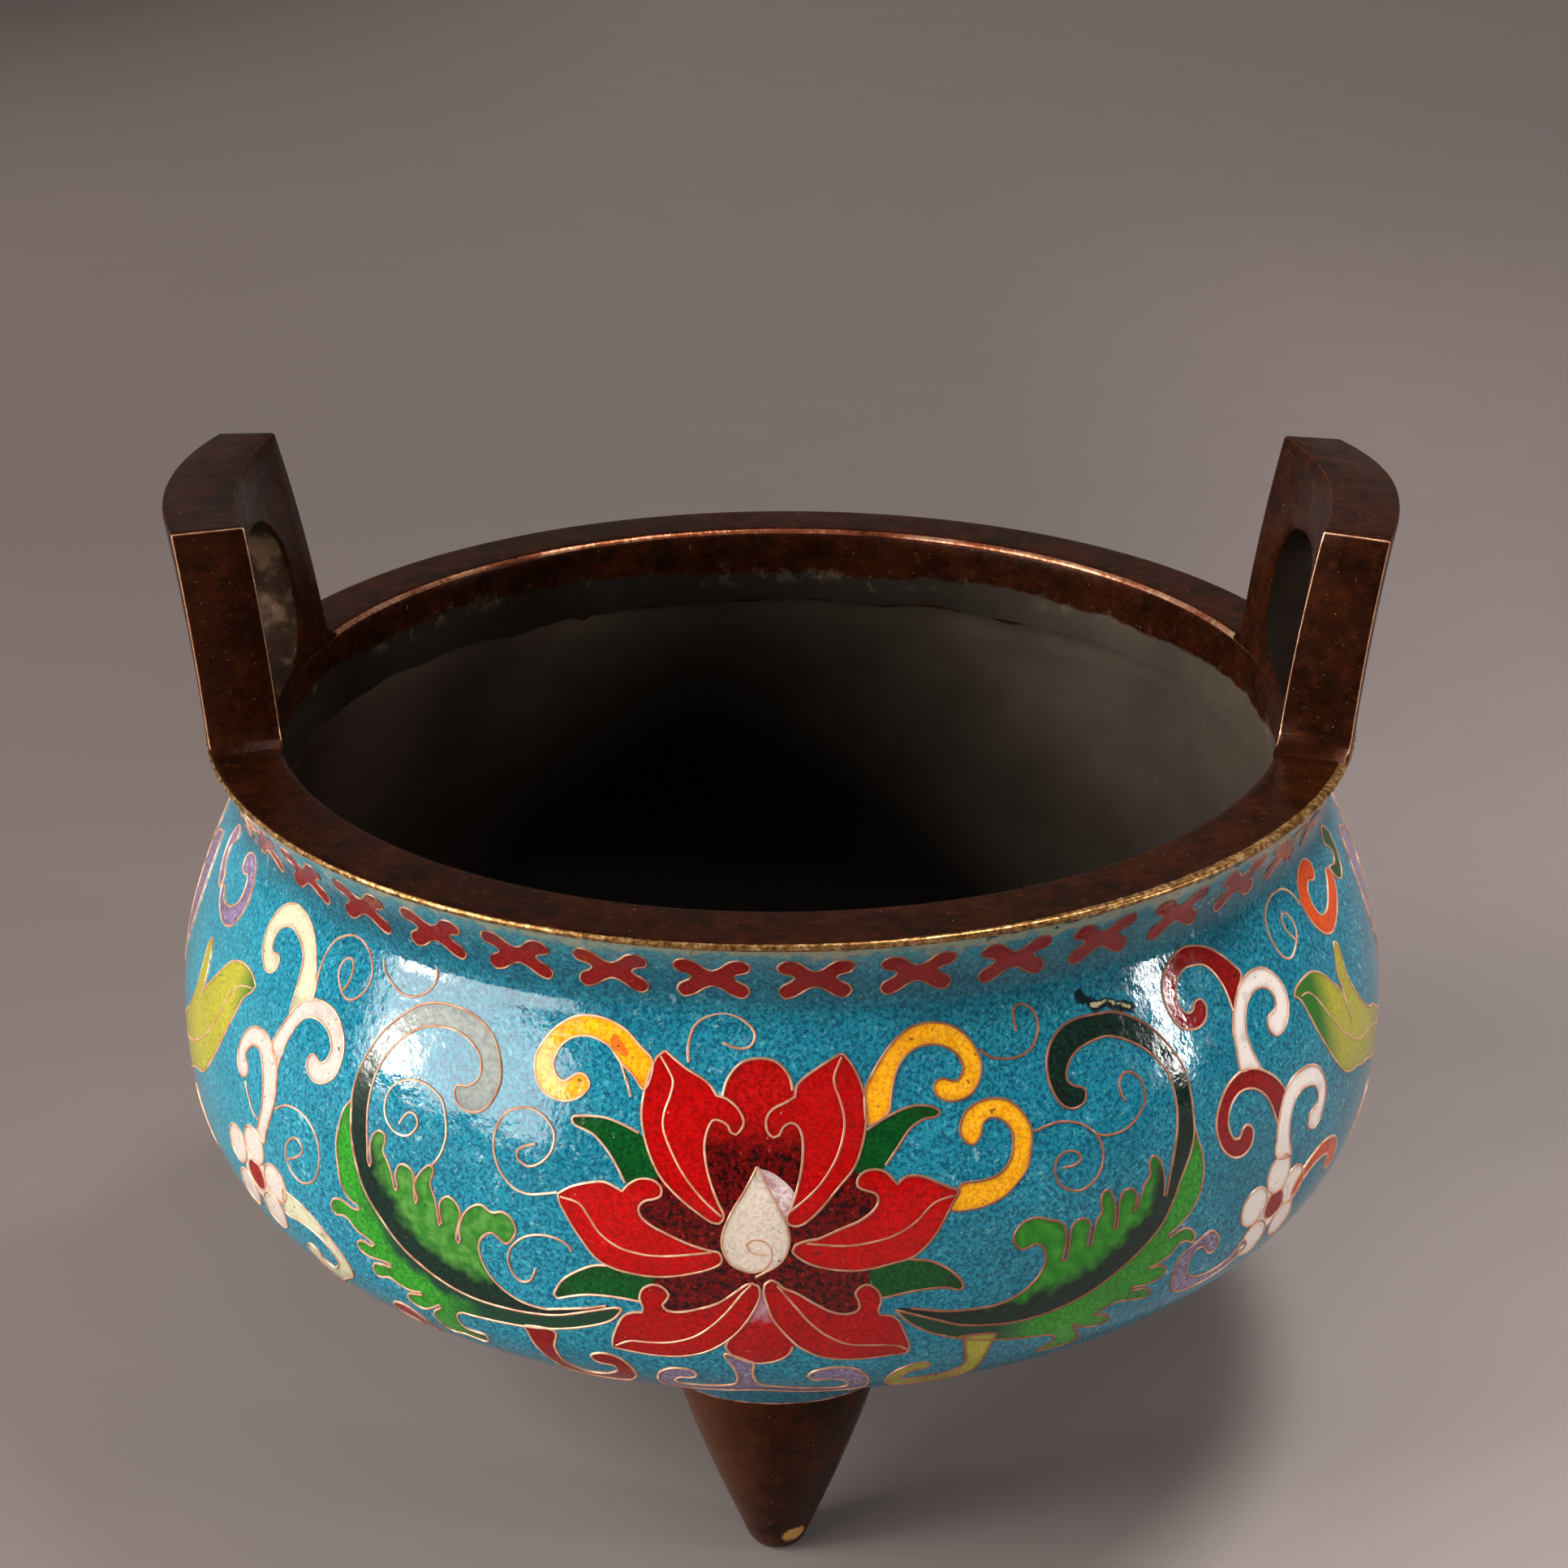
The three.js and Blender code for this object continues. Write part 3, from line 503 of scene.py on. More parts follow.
SCROLL_LOBES_LEFT = [
    (-32.3, 14.3), (-31.4, 14.4), (-30.5, 14.9), (-30, 15.85), (-30.3, 17.25), (-31.4, 18.3),
    (-33.1, 19), (-35, 19.1), (-37.2, 18.6), (-39.1, 17.4), (-40.6, 15.85), (-41.7, 13.8),
    (-42.2, 11.9), (-42.3, 9.75), (-42.1, 7.9), (-41.8, 6), (-41.6, 4.4), (-41.25, 3.9),
    (-41.1, 4.4), (-41.4, 5.7), (-41.25, 6.9), (-40.6, 7.7), (-39.8, 7.6), (-39.6, 6.9),
    (-39.8, 6), (-39.2, 5.2), (-38.6, 4.1), (-38.2, 2.7), (-37.9, 2.5), (-37.8, 3), (-38.1, 4.1),
    (-37.7, 5.2), (-36.9, 5.4), (-36.1, 5), (-35.9, 4.1), (-35.8, 2.6), (-35.6, 1.9),
    (-35.4, 2.4), (-35.8, 3.8), (-35.2, 5.2), (-34.2, 6.2), (-33.7, 5.7), (-34, 4.4),
    (-33.4, 2.9), (-33.1, 1), (-33, 0.4), (-32.7, 0.8), (-32.9, 1.9), (-32.8, 3), (-32, 3.7),
    (-31.1, 3.3), (-30.6, 2.25), (-30.9, 1), (-31.2, -0.6), (-30.9, -0.9), (-30.7, -0.25),
    (-30.8, 0.7), (-30.3, 2.25), (-29.5, 3.3), (-28.4, 3.8), (-27.3, 3.3), (-26.25, 3.6),
    (-25.3, 3.2), (-24.8, 2.1), (-25.2, 1), (-25.8, 0.4), (-26.4, 0.7), (-27.2, 1.2),
    (-28.1, 0.75), (-28.7, -0.25), (-28.6, -1.8), (-27.8, -3.4), (-26.6, -4.6), (-24.7, -5.6),
    (-22.5, -5.9), (-21, -5.6), (-18.1, -4.9), (-16.2, -4.3)]
SCROLL_LEAF_LEFT = [
    (-44.6, 9.4), (-45.3, 8.3), (-45.7, 6.6), (-45.9, 4.75), (-45.6, 2.6), (-45.2, 0.7),
    (-44.2, -0.6), (-43, -0.9), (-42.8, -1.3), (-43.75, -1.5), (-45.3, -1.2), (-46.4, -1.5),
    (-46.9, -2.4), (-46.4, -3.2), (-45.3, -2.9), (-44.5, -3.06), (-43.4, -3.9), (-41.9, -4.3),
    (-41.25, -4.6), (-41.6, -4.9), (-42.8, -4.8), (-43.6, -5.25), (-43.4, -6), (-42.2, -6.4),
    (-40.6, -6.2), (-39.4, -6.2), (-39.4, -6.5), (-40.6, -6.7), (-41.7, -7), (-42, -7.75),
    (-41.7, -8.5), (-41.1, -8.5), (-40, -8.06), (-38.75, -8.5), (-37.5, -8.7), (-36.2, -8.4),
    (-36.1, -8.7), (-37.2, -9), (-38.1, -9.5), (-38, -10.4), (-37, -10.9), (-36.1, -10.7),
    (-35, -9.9), (-34.2, -9.25), (-34.1, -9.6), (-35, -10.4), (-35.5, -11.3), (-35.3, -12.3),
    (-35, -13.2), (-34.06, -13.7), (-32.5, -13.4), (-30.3, -13.7), (-29.7, -12.6), (-29.8, -12),
    (-30.9, -12), (-31.9, -11.8), (-32.4, -10.9), (-32.3, -9.9), (-31.6, -9.3), (-30, -9.2),
    (-27.2, -9), (-24.7, -8.75), (-21.6, -8.2), (-18.75, -7.3), (-16.25, -6.2), (-15.2, -5.3),
    (-14.7, -4.44)]
SCROLL_BACK_RIGHT = [
    (30, 14), (30, 14), (29.8, 13.3), (29, 12.8), (27.9, 12.9), (27, 13.65), (26.4, 15.06),
    (26.25, 16.6), (26.5, 18), (27.4, 19.4), (29, 20.4), (30.9, 20.7), (32.75, 20.6),
    (34.6, 20.4), (36.5, 19.6), (38.4, 18.2), (39.9, 16.5), (41, 14.75), (41.7, 12.9),
    (41.9, 10.7), (41.8, 8.8), (41.6, 6.9), (40.9, 5.06), (39.6, 2.9), (38.7, 1), (37.4, -1.2),
    (35.25, -3.06), (32.75, -4.6), (30.25, -5.9), (27.75, -6.8), (24.9, -7.4), (22.1, -7.6),
    (19.3, -7.3), (16.5, -6.7), (14, -5.6), (10.3, -4)]
SCROLL_LOBES_RIGHT = [
    (29.6, 14.5), (29, 14.7), (28.3, 15.2), (28.2, 16), (28.8, 17.1), (29.9, 17.9), (31.5, 18.3),
    (33.4, 18.4), (35.25, 17.7), (37.1, 16.5), (38.5, 15.06), (39.5, 13.5), (39.9, 11.6),
    (39.9, 9.75), (39.6, 7.9), (39, 6), (38.2, 3.5), (37.75, 1.8), (37.5, 1.9), (37.6, 3.2),
    (37.4, 4.75), (37, 5.8), (36.3, 6.2), (35.9, 5.5), (35.9, 4.4), (35.25, 3.7), (34.8, 2.7),
    (34.5, 2.1), (34, 1.2), (34.2, 2.1), (34.3, 3), (33.8, 3.7), (32.9, 3.75), (32.4, 3),
    (32.2, 1.6), (32.1, 0.2), (31.8, 0.1), (31.9, 1.6), (31.75, 3.2), (31.2, 4.3), (30.6, 4.2),
    (30.3, 3.2), (30.5, 2.4), (29.9, 1.6), (29.5, 0.4), (29.3, -0.9), (28.9, -0.8),
    (29.06, 0.2), (29.2, 1.3), (28.8, 2), (27.9, 2.2), (27.2, 1.6), (27, 0.4), (26.75, -1.8),
    (26.3, -1.75), (26.6, -0.25), (26.6, 1.3), (26.2, 2.3), (24.9, 2.9), (23.7, 3.4),
    (22.4, 3.25), (21.5, 2.4), (21.4, 1.5), (22.06, 0.5), (22.9, 0.6), (23.7, 0.75),
    (24.3, 0.2), (24.6, -1.2), (24, -2.75), (22.4, -4.2), (20.25, -5), (18.06, -5.1),
    (15.6, -4.9), (14, -4.6), (11.7, -4)]
SCROLL_LEAF_RIGHT = [
    (41.7, 8), (42, 6), (42.3, 5.06), (42.5, 3.2), (42.3, 1.3), (41.7, -0.25), (40.6, -1.5),
    (39.3, -2.3), (38.4, -2.7), (38.5, -3.06), (39.6, -2.75), (40.6, -2.8), (41.5, -3.5),
    (41.9, -4.3), (41.5, -4.8), (40.7, -4.3), (39.8, -4.3), (38.7, -5.2), (37.3, -5.6),
    (36.2, -5.7), (37.4, -5.9), (38.2, -6.25), (38.4, -7), (37.75, -7.6), (36.2, -7.7),
    (34.5, -7.4), (34.5, -7.75), (35.9, -8.06), (36.8, -8.5), (37, -9.2), (36.5, -9.6),
    (35.25, -9.3), (33, -8.7), (30.9, -9.3), (30.7, -9.7), (31.8, -9.9), (32.75, -11),
    (31.4, -11.6), (29.6, -10.9), (28.5, -10.1), (29, -11.2), (30, -13), (28.8, -13.8),
    (27.5, -13.8), (25.5, -13.5), (26.8, -12), (26.3, -10.9), (24.6, -10.4), (21.8, -9.9),
    (19.3, -9.3), (16.5, -8.4), (14, -7.3), (11.9, -5.9), (10.7, -4.6), (10.3, -4)]
# Each scroll's outlines, and the point of its back where its leaf starts
SCROLLS = {
    "left": (SCROLL_BACK_LEFT, SCROLL_LOBES_LEFT, SCROLL_LEAF_LEFT, 14),
    "right": (SCROLL_BACK_RIGHT, SCROLL_LOBES_RIGHT, SCROLL_LEAF_RIGHT, 21),
}
SPIRALS = [
    [(-9, 19.7), (-9.15, 21), (-8.7, 22.8), (-7.5, 23.8), (-5.8, 24.2), (-4.3, 23.9), (-3, 23.06),
     (-2.6, 22.2), (-3.1, 21.3), (-4.3, 21.15), (-5.76, 21.6)],
    [(19.6, 19.75), (20.6, 18.9), (22.1, 18.5), (23.7, 18.5), (25.1, 19.1), (26, 20.4),
     (26.1, 21.6), (25.6, 22.6), (24.5, 23.1), (23.7, 22.6), (23.7, 20.8)],
    [(24, 11.5), (24.8, 11.7), (26.5, 11.9), (28.06, 11.6), (29.3, 11), (30.4, 9.9), (30.9, 8.5),
     (30.7, 6.9), (29.8, 5.7), (28.4, 5.06), (27, 5.4), (26, 6.3), (25.7, 7.6), (26.2, 8.7),
     (27.3, 9.06), (28.2, 8.7), (28.5, 8), (27.75, 7.6), (26.5, 7.6)],
    [(30.4, 9.9), (31.8, 9.5), (33.7, 9.6), (35.25, 10.4), (36.3, 11.6), (36.4, 13.2),
     (35.7, 14.3), (34.6, 14.7), (33.8, 14), (33.75, 13), (34.06, 12.2)],
    [(-20.8, 6.6), (-22.2, 6.2), (-23.75, 5.9), (-25.3, 6.3), (-26.7, 7.6), (-27.5, 9.4),
     (-27.5, 11.3), (-26.7, 12.9), (-25.3, 13.65), (-23.75, 13.75), (-22.3, 13), (-21.5, 11.8),
     (-21.7, 10.2), (-22.7, 9), (-23.9, 8.5), (-25, 9.1), (-24.9, 9.9), (-24.06, 10.4),
     (-23.3, 10.7)],
    [(-19.3, 1), (-19.7, 1.6), (-20.9, 2.1), (-22.5, 2.1), (-24.06, 1.5), (-25.3, 0.2),
     (-25.7, -1.2), (-25.3, -2.6), (-24.5, -3.3), (-23.6, -3.06), (-23.1, -2.1), (-22.9, -1.5)],
    [(-33.9, 6.3), (-33.1, 7.6), (-32.7, 9.3), (-33, 11), (-33.75, 12.6), (-35.3, 13.4),
     (-36.9, 13.6), (-38.4, 13.2), (-39.7, 12.25), (-40.25, 10.8), (-40, 9.4), (-39.06, 8.4),
     (-37.8, 8.1), (-36.7, 8.5), (-36.03, 9.6), (-36.4, 10.4), (-37.2, 10.5), (-37.8, 9.9),
     (-38.2, 9.1)],
    [(-44.8, 23.1), (-44.06, 22.1), (-42.5, 21.2), (-40.6, 20.7), (-38.75, 21.2), (-37.5, 22.4),
     (-37.4, 23.7), (-38.1, 24.4)],
    [(-53.06, 17.4), (-53.4, 19.1), (-53.3, 21), (-52.5, 22.7), (-50.9, 23.7), (-49.2, 24),
     (-47.5, 23.5), (-46.25, 22.4), (-45.7, 21), (-46.1, 19.6), (-47.2, 18.5), (-48.4, 18.2),
     (-49.7, 19), (-50.5, 20.2), (-50.3, 21.3), (-49.5, 21.9), (-48.7, 21.5), (-48.5, 20.5),
     (-48.75, 19.4), (-49.2, 18.7)],
    [(-55.6, 4.4), (-54.06, 5.4), (-52.2, 5.75), (-50.3, 5.4), (-48.9, 4.3), (-48.3, 2.6),
     (-48.6, 0.7), (-49.5, -0.9), (-51.25, -1.8), (-52.8, -1.5), (-53.8, -0.25), (-53.6, 1.3),
     (-52.8, 2.4), (-51.7, 2.8), (-50.9, 2.1), (-51.4, 1.2), (-52.5, 0.4), (-53.4, -0.1)],
    [(67.6, 20.7), (66.7, 22.25), (65.4, 23.3), (63.6, 23.7), (61.7, 23.5), (60.1, 22.6),
     (59.4, 21), (59.7, 19.4), (60.4, 18), (61.7, 17.3), (62.9, 17.6), (64.2, 18.5),
     (64.7, 19.75), (64.2, 21), (63.25, 21.5), (62.6, 20.8), (62.9, 19.6), (63.8, 18.5)],
    [(-61.7, 4.75), (-60.9, 3.5), (-59.7, 2.1), (-58.75, 1.9)],
]
# Hooks of the sprays: the part's name, its enamel and the outline of its cell
HOOKS = [
    ("cream_hook", "cream", [
        (-53.1, 16.9), (-54.06, 19.4), (-55.3, 21.3), (-56.9, 22.7), (-58.75, 23.4), (-60.9, 23.6),
        (-62.8, 23), (-64.2, 21.6), (-64.8, 19.75), (-64.4, 17.9), (-63.1, 16.5), (-61.7, 16.2),
        (-60.6, 16.9), (-60.4, 17.7), (-60.9, 18.3), (-61.9, 18.2), (-62.5, 18.3), (-62.8, 19.1),
        (-62.5, 20.4), (-61.25, 21.25), (-59.7, 21.4), (-57.8, 20.7), (-56.6, 19.6),
        (-56.2, 17.9), (-56.1, 16), (-56, 14.2), (-54.7, 15.7)]),
    ("white_hook_left", "white", [
        (-57.7, 10.4), (-56.9, 12.25), (-55.9, 14.1), (-54.7, 15.7), (-53.1, 16.6),
        (-51.25, 16.9), (-49.4, 16.6), (-47.8, 15.5), (-46.9, 14), (-46.8, 12.4), (-47.3, 10.8),
        (-48.6, 9.75), (-50, 9.4), (-51.1, 9.9), (-51.6, 10.7), (-51.3, 11.6), (-50.6, 11.8),
        (-49.7, 11.4), (-48.9, 11.9), (-48.5, 13.03), (-49.06, 14.1), (-50.3, 14.9),
        (-51.9, 15.06), (-53.4, 14.6), (-54.5, 13.3), (-55.3, 11.6), (-55.8, 9.75), (-56.1, 8.5),
        (-57.2, 9.6)]),
    ("white_hook_low_left", "white", [
        (-59.06, 0.5), (-58.75, 1.6), (-58.1, 3.5), (-58.1, 5.4), (-58.4, 6.9), (-59.06, 8.3),
        (-60, 9), (-61.1, 8.8), (-62.03, 7.9), (-62.2, 7.1), (-61.6, 6.5), (-61.4, 5.7),
        (-62.2, 5), (-63.1, 5.2), (-63.8, 6.3), (-63.8, 7.7), (-63.1, 9.3), (-61.9, 10.4),
        (-60.3, 10.9), (-58.75, 10.75), (-57.5, 10.06), (-56.25, 8.8), (-55.8, 6.9),
        (-55.8, 5.06), (-56.4, 3.2), (-57.2, 1.3), (-57.8, -0.3)]),
    ("cream_hook_low", "cream", [
        (-55, -4.2), (-54.4, -4.3), (-52.2, -4.6), (-50, -5.4), (-48.1, -6.7), (-46.6, -8.06),
        (-45.8, -9.6), (-46.1, -10.9), (-47.5, -12.1), (-49.4, -13.7), (-50.9, -15.6),
        (-52, -16.4), (-53, -15.2), (-52.2, -13), (-52.6, -11.6), (-53, -10.4), (-52.2, -9.6),
        (-51.2, -9.9), (-50.6, -11), (-49.4, -11.5), (-48.6, -11), (-47.8, -9.9), (-48, -8.8),
        (-49.06, -7.75), (-50.9, -7.1), (-53.1, -7), (-55.3, -7.1)]),
    ("dark_red_hook_high", "dark_red", [
        (52.75, 18.9), (52, 20.06), (50.9, 21.3), (49.3, 22.6), (47.4, 23.4), (45.6, 23.7),
        (43.7, 23.2), (42.1, 22.1), (41.3, 20.4), (41.5, 18.5), (42.4, 16.9), (44, 16.2),
        (45.4, 16.3), (46.3, 17.1), (46.4, 18.03), (45.9, 18.6), (45.1, 18.5), (44.6, 17.9),
        (43.8, 17.8), (43.06, 18.5), (42.9, 19.75), (43.5, 21), (44.8, 21.8), (46.3, 21.8),
        (47.75, 21.4), (48.8, 20.4), (49.6, 18.8), (49.9, 17.25), (50.1, 16.06), (51.4, 17.6)]),
    ("white_hook_right", "white", [
        (49.06, 10.5), (49.06, 12.6), (49.3, 14.4), (50.1, 16.06), (51.2, 17.4), (52.75, 18.3),
        (54.6, 18.6), (56.5, 18.2), (58.06, 16.9), (58.9, 15.2), (58.7, 13.5), (57.75, 12.25),
        (56.3, 11.6), (55.1, 11.9), (54.5, 12.9), (54.9, 13.75), (55.7, 13.9), (56.5, 14.2),
        (56.8, 15.2), (56.2, 16.2), (54.9, 16.8), (53.4, 16.7), (52, 15.8), (51.2, 14.4),
        (51.03, 12.9), (51.5, 11), (52, 9.6), (50.6, 10.2)]),
    ("dark_red_hook_low", "dark_red", [
        (55.25, 6), (54.3, 7.6), (52.75, 9), (50.9, 10.06), (49, 10.4), (47.1, 9.9), (45.6, 8.7),
        (44.6, 6.9), (44.6, 5.4), (45.25, 3.8), (46.5, 2.6), (47.9, 2.2), (49, 2.6), (49.6, 3.5),
        (49.5, 4.6), (48.7, 5.1), (48.06, 4.8), (47.6, 4.2), (46.8, 4.4), (46.2, 5.7),
        (46.3, 6.9), (47.1, 8.03), (48.4, 8.6), (49.9, 8.4), (51.3, 7.6), (52.4, 6.3),
        (53.06, 4.75), (53.7, 3.2), (54.5, 5.06)]),
    ("white_hook_low_right", "white", [
        (53.25, 0.06), (53.4, 1.9), (53.7, 3.5), (54.5, 5.06), (55.6, 6.2), (57, 6.8),
        (58.6, 6.9), (60.4, 6.6), (62, 5.7), (63, 4.1), (63.2, 2.6), (62.6, 1), (61.4, -0.25),
        (60.3, -0.25), (59.3, 0.5), (59.5, 1.5), (60.4, 1.9), (61.2, 2.1), (61.4, 3.2),
        (60.75, 4.3), (59.5, 4.8), (57.9, 4.9), (56.7, 4.3), (55.9, 2.9), (55.75, 1.3),
        (56.06, -0.25), (56.3, -1.2), (54.6, -1)]),
    ("orange_hook", "orange", [
        (78.6, 20.06), (78.25, 18.5), (76.4, 17.1), (74.5, 16.2), (72.6, 15.8), (70.75, 16.3),
        (69.2, 17.6), (68.25, 19.1), (67.9, 21), (68.7, 22.6), (70.1, 23.6), (72, 24),
        (73.6, 23.3), (73.9, 22.4), (73.25, 21.5), (72.3, 21.6), (71.4, 21.9), (70.4, 21.3),
        (70.1, 20.06), (70.6, 18.8), (71.7, 18), (73.25, 18), (74.8, 18.7), (76.4, 19.9),
        (77.5, 20.8)]),
    ("green_hook_side", "green", [
        (78.8, 20.4), (79.6, 19), (81, 18.2), (82.6, 18.6), (83.8, 20.2), (84, 22.2), (82.8, 23.6),
        (81.2, 23.6), (80.6, 22.4), (81.6, 21.6), (82, 20.6), (81, 20)]),
    ("orange_hook_low", "orange", [
        (57.8, -5.2), (60, -4), (62.5, -3.4), (65, -3.6), (67, -4.6), (67.8, -6.2), (67, -7.6),
        (65.6, -7.6), (65, -6.6), (65.4, -5.8), (64.2, -5.2), (62, -5), (59.6, -5.6),
        (57.6, -6.8)]),
    ("lavender_hook_side", "lavender", [
        (-76.6, 22.9), (-75.9, 23.7), (-74.4, 24), (-72.8, 23.3), (-71.6, 21.9), (-71.2, 20.4),
        (-71.6, 18.5), (-72.8, 16.9), (-74.7, 16), (-76.9, 16), (-79.06, 16.8), (-80.3, 17.9),
        (-79.7, 18.5), (-78.1, 17.6), (-76.25, 17.6), (-74.7, 18.2), (-73.4, 19.4),
        (-73.3, 21), (-74.06, 21.9), (-75.3, 21.6), (-76.25, 21.9)]),
    ("lavender_hook_far", "lavender", [
        (-81, 17.6), (-82.6, 18.2), (-84.4, 19.8), (-85, 21.8), (-84, 23.6), (-82.6, 23.8),
        (-82, 22.8), (-83, 22), (-83.2, 20.8), (-82, 19.6), (-80.8, 18.9)]),
    ("lavender_hook_right", "lavender", [
        (44, -4.5), (44.9, -5.25), (45.5, -6.2), (45.1, -7.1), (44.3, -7.3), (43.7, -6.7),
        (43.06, -5.9), (42.1, -6.03), (41.5, -7.1), (41.6, -8.4), (42.3, -9.3), (44, -10.1),
        (46.2, -10.25), (48.4, -9.6), (49.6, -8.2), (50.6, -9.6), (48.4, -11), (46.5, -11.5),
        (44, -11.6), (41.8, -11.3), (40.25, -10.25), (39.6, -8.4), (39.8, -6.8), (40.6, -5.6),
        (42, -5.1)]),
    ("lavender_anchor", "lavender", [
        (-5.3, -8.8), (-4.7, -10.6), (-4.4, -11.65), (-4.3, -13.1), (-4.7, -14.4), (-6, -15.1),
        (-8, -15.4), (-9.9, -15.2), (-10.5, -14.6), (-10.4, -14), (-9.9, -13.4), (-9, -13.35),
        (-8.4, -13), (-8.3, -12.2), (-9, -11.6), (-10.5, -11.65), (-11.65, -12.5),
        (-12.1, -13.7), (-12.2, -15.2), (-11.2, -16.8), (-9, -17.5), (-5.8, -17.4), (-3, -16.6),
        (-0.6, -16.9), (2.6, -17.9), (6, -17.9), (8, -16.6), (8.35, -14.3), (7.76, -12.5),
        (6.6, -11.2), (4.8, -10.9), (3.06, -11.35), (2.47, -12.2), (2.6, -12.8), (3.2, -13.3),
        (4.24, -13), (5.7, -13.4), (6.4, -14.6), (6.2, -15.6), (4.6, -16), (1.8, -15.6),
        (-0.8, -14.9), (-2.24, -14.3), (-2.8, -12.2), (-2.7, -10.4), (-2.9, -9.8)]),
    ("lime_anchor", "lime", [
        (16.6, -8.2), (17, -8.7), (17.4, -10.9), (17.7, -12.6), (17, -14), (15.4, -14.7),
        (13.2, -14.8), (11.7, -14.6), (11.4, -14), (11.9, -13.1), (12.76, -12.5), (13.65, -12.5),
        (14.1, -11.9), (13.06, -11.3), (11.6, -11.8), (10.56, -12.8), (10.1, -14.3),
        (10.26, -15.6), (11.6, -16.9), (14, -17.3), (16.8, -17), (18.8, -15.6), (19.4, -13.7),
        (19.6, -11.5), (19.9, -9.6), (20, -8.6)]),
    ("dark_red_anchor", "dark_red", [
        (-24.6, -8.6), (-24.5, -9.4), (-24.06, -11.5), (-22.8, -14.6), (-22.2, -16.4),
        (-20, -17.9), (-17.8, -17.9), (-15.6, -16.6), (-14.4, -14.4), (-14.4, -13.1),
        (-14.6, -12.2), (-15.5, -10.9), (-16.9, -10.5), (-18.1, -10.9), (-18.4, -11.5),
        (-18, -12.2), (-17.1, -12.4), (-16.3, -12.5), (-16.1, -13.4), (-16.4, -14),
        (-17.8, -15.25), (-19.4, -15.7), (-20.6, -14.9), (-21.7, -13.4), (-22, -10.9),
        (-21.6, -8.5)]),
    ("dark_red_hook_left", "dark_red", [
        (-38.6, -12.2), (-40, -11.8), (-41.2, -12.4), (-41.4, -13.8), (-40.4, -14.8), (-39.4, -15.6),
        (-40, -17), (-42, -18.4), (-45, -19.8), (-47.4, -21.6), (-47.6, -23), (-44.6, -22.6),
        (-41, -20.8), (-38.4, -18.6), (-37.4, -16), (-37.6, -13.6)]),
]
# Blossoms of the sprays: the half they are in, the middle, the heart's radius and the petals
BLOSSOMS = [
    ("left", (-60.3, -5.1), 1.65,
     [(-60.2, -1.66), (-64.2, -3.4), (-56.5, -4.3), (-63.1, -8.06), (-57.8, -8.2)]),
    ("right", (54, -5.9), 1.6,
     [(54.3, -2.5), (50.5, -4.6), (57.3, -5.2), (51.4, -8.9), (56.4, -8.9)]),
]
BLOSSOM_PETAL_RADIUS = 2.05
BLOSSOM_MIDDLE_RADIUS = 2.6
# The visible side petals of the flowers under the handles
SIDE_PETALS = {
    "right": [
        (60.2, 13.9), (60.2, 13.9), (60.75, 14.4), (62.6, 14.75), (64.5, 14.7), (66.06, 14.1),
        (67.3, 13.2), (68.6, 11.9), (69.8, 10.7), (70.75, 8.5), (71.2, 6.6), (71.2, 6.6),
        (70.6, 10.4), (70.4, 12.25), (71.06, 13.8), (71.8, 14.9), (72.6, 14.4), (72.7, 13.2),
        (72.5, 11.6), (73.25, 9.75), (74.5, 7.9), (76.4, 6), (78.25, 4.75), (80.1, 4.1),
        (83.25, 2.25), (86.4, 0.4), (91, -1), (93.8, -1.6), (94.2, -2.6), (91.6, -4.4),
        (86.4, -4.9), (83.2, -3.4), (80.1, -2.1), (77, -0.6), (74.5, 0.06), (72.3, 1), (70.1, 1.5),
        (68.25, 2.4), (66.7, 3.8), (65.1, 5.7), (63.6, 7.9), (62.6, 9.75), (61.7, 11.9),
        (61.06, 13.2)],
    "left": [
        (-63.3, 14.1), (-63.3, 14.1), (-64.4, 14.75), (-66.25, 15.06), (-68.1, 14.8), (-70, 14),
        (-71.6, 12.6), (-73.1, 11), (-74.7, 9.4), (-75.9, 8.03), (-76.1, 7.25), (-76.1, 7.25),
        (-75.8, 9.3), (-76.1, 11.8), (-77, 13.5), (-77.9, 12.6), (-78, 10.5), (-78.2, 8.2),
        (-79.5, 5.6), (-81.6, 3.6), (-85.3, 1.2), (-90, -1.2), (-93.8, -1.8), (-94.2, -2.8),
        (-91.6, -5.4), (-88.1, -6.2), (-83.75, -4.6), (-79.06, -2.1), (-75.9, -0.9),
        (-73.75, 0.06), (-71.9, 1.6), (-70, 3.5), (-68.4, 5.7), (-67.2, 7.9), (-65.9, 10.4),
        (-65, 12.25), (-63.9, 13.2)],
}
SIDE_RIBS = [
    [(61.4, 13.4), (62.8, 13.25), (64.03, 12.25), (65.4, 10.4), (67, 8.2), (68.9, 6.3),
     (70.75, 4.9), (72.6, 3.8), (74.5, 3.2), (77.9, 2.6), (82, 1), (86, -1), (92, -2)],
    [(-63.9, 13.65), (-65.3, 13.3), (-66.9, 12.6), (-68.1, 11.3), (-69.06, 9.75), (-70, 7.9),
     (-71.6, 6), (-73.4, 4.3), (-75.9, 2.6), (-79.06, 1), (-82.2, -0.25), (-88, -2.4),
     (-92, -2.6)],
]
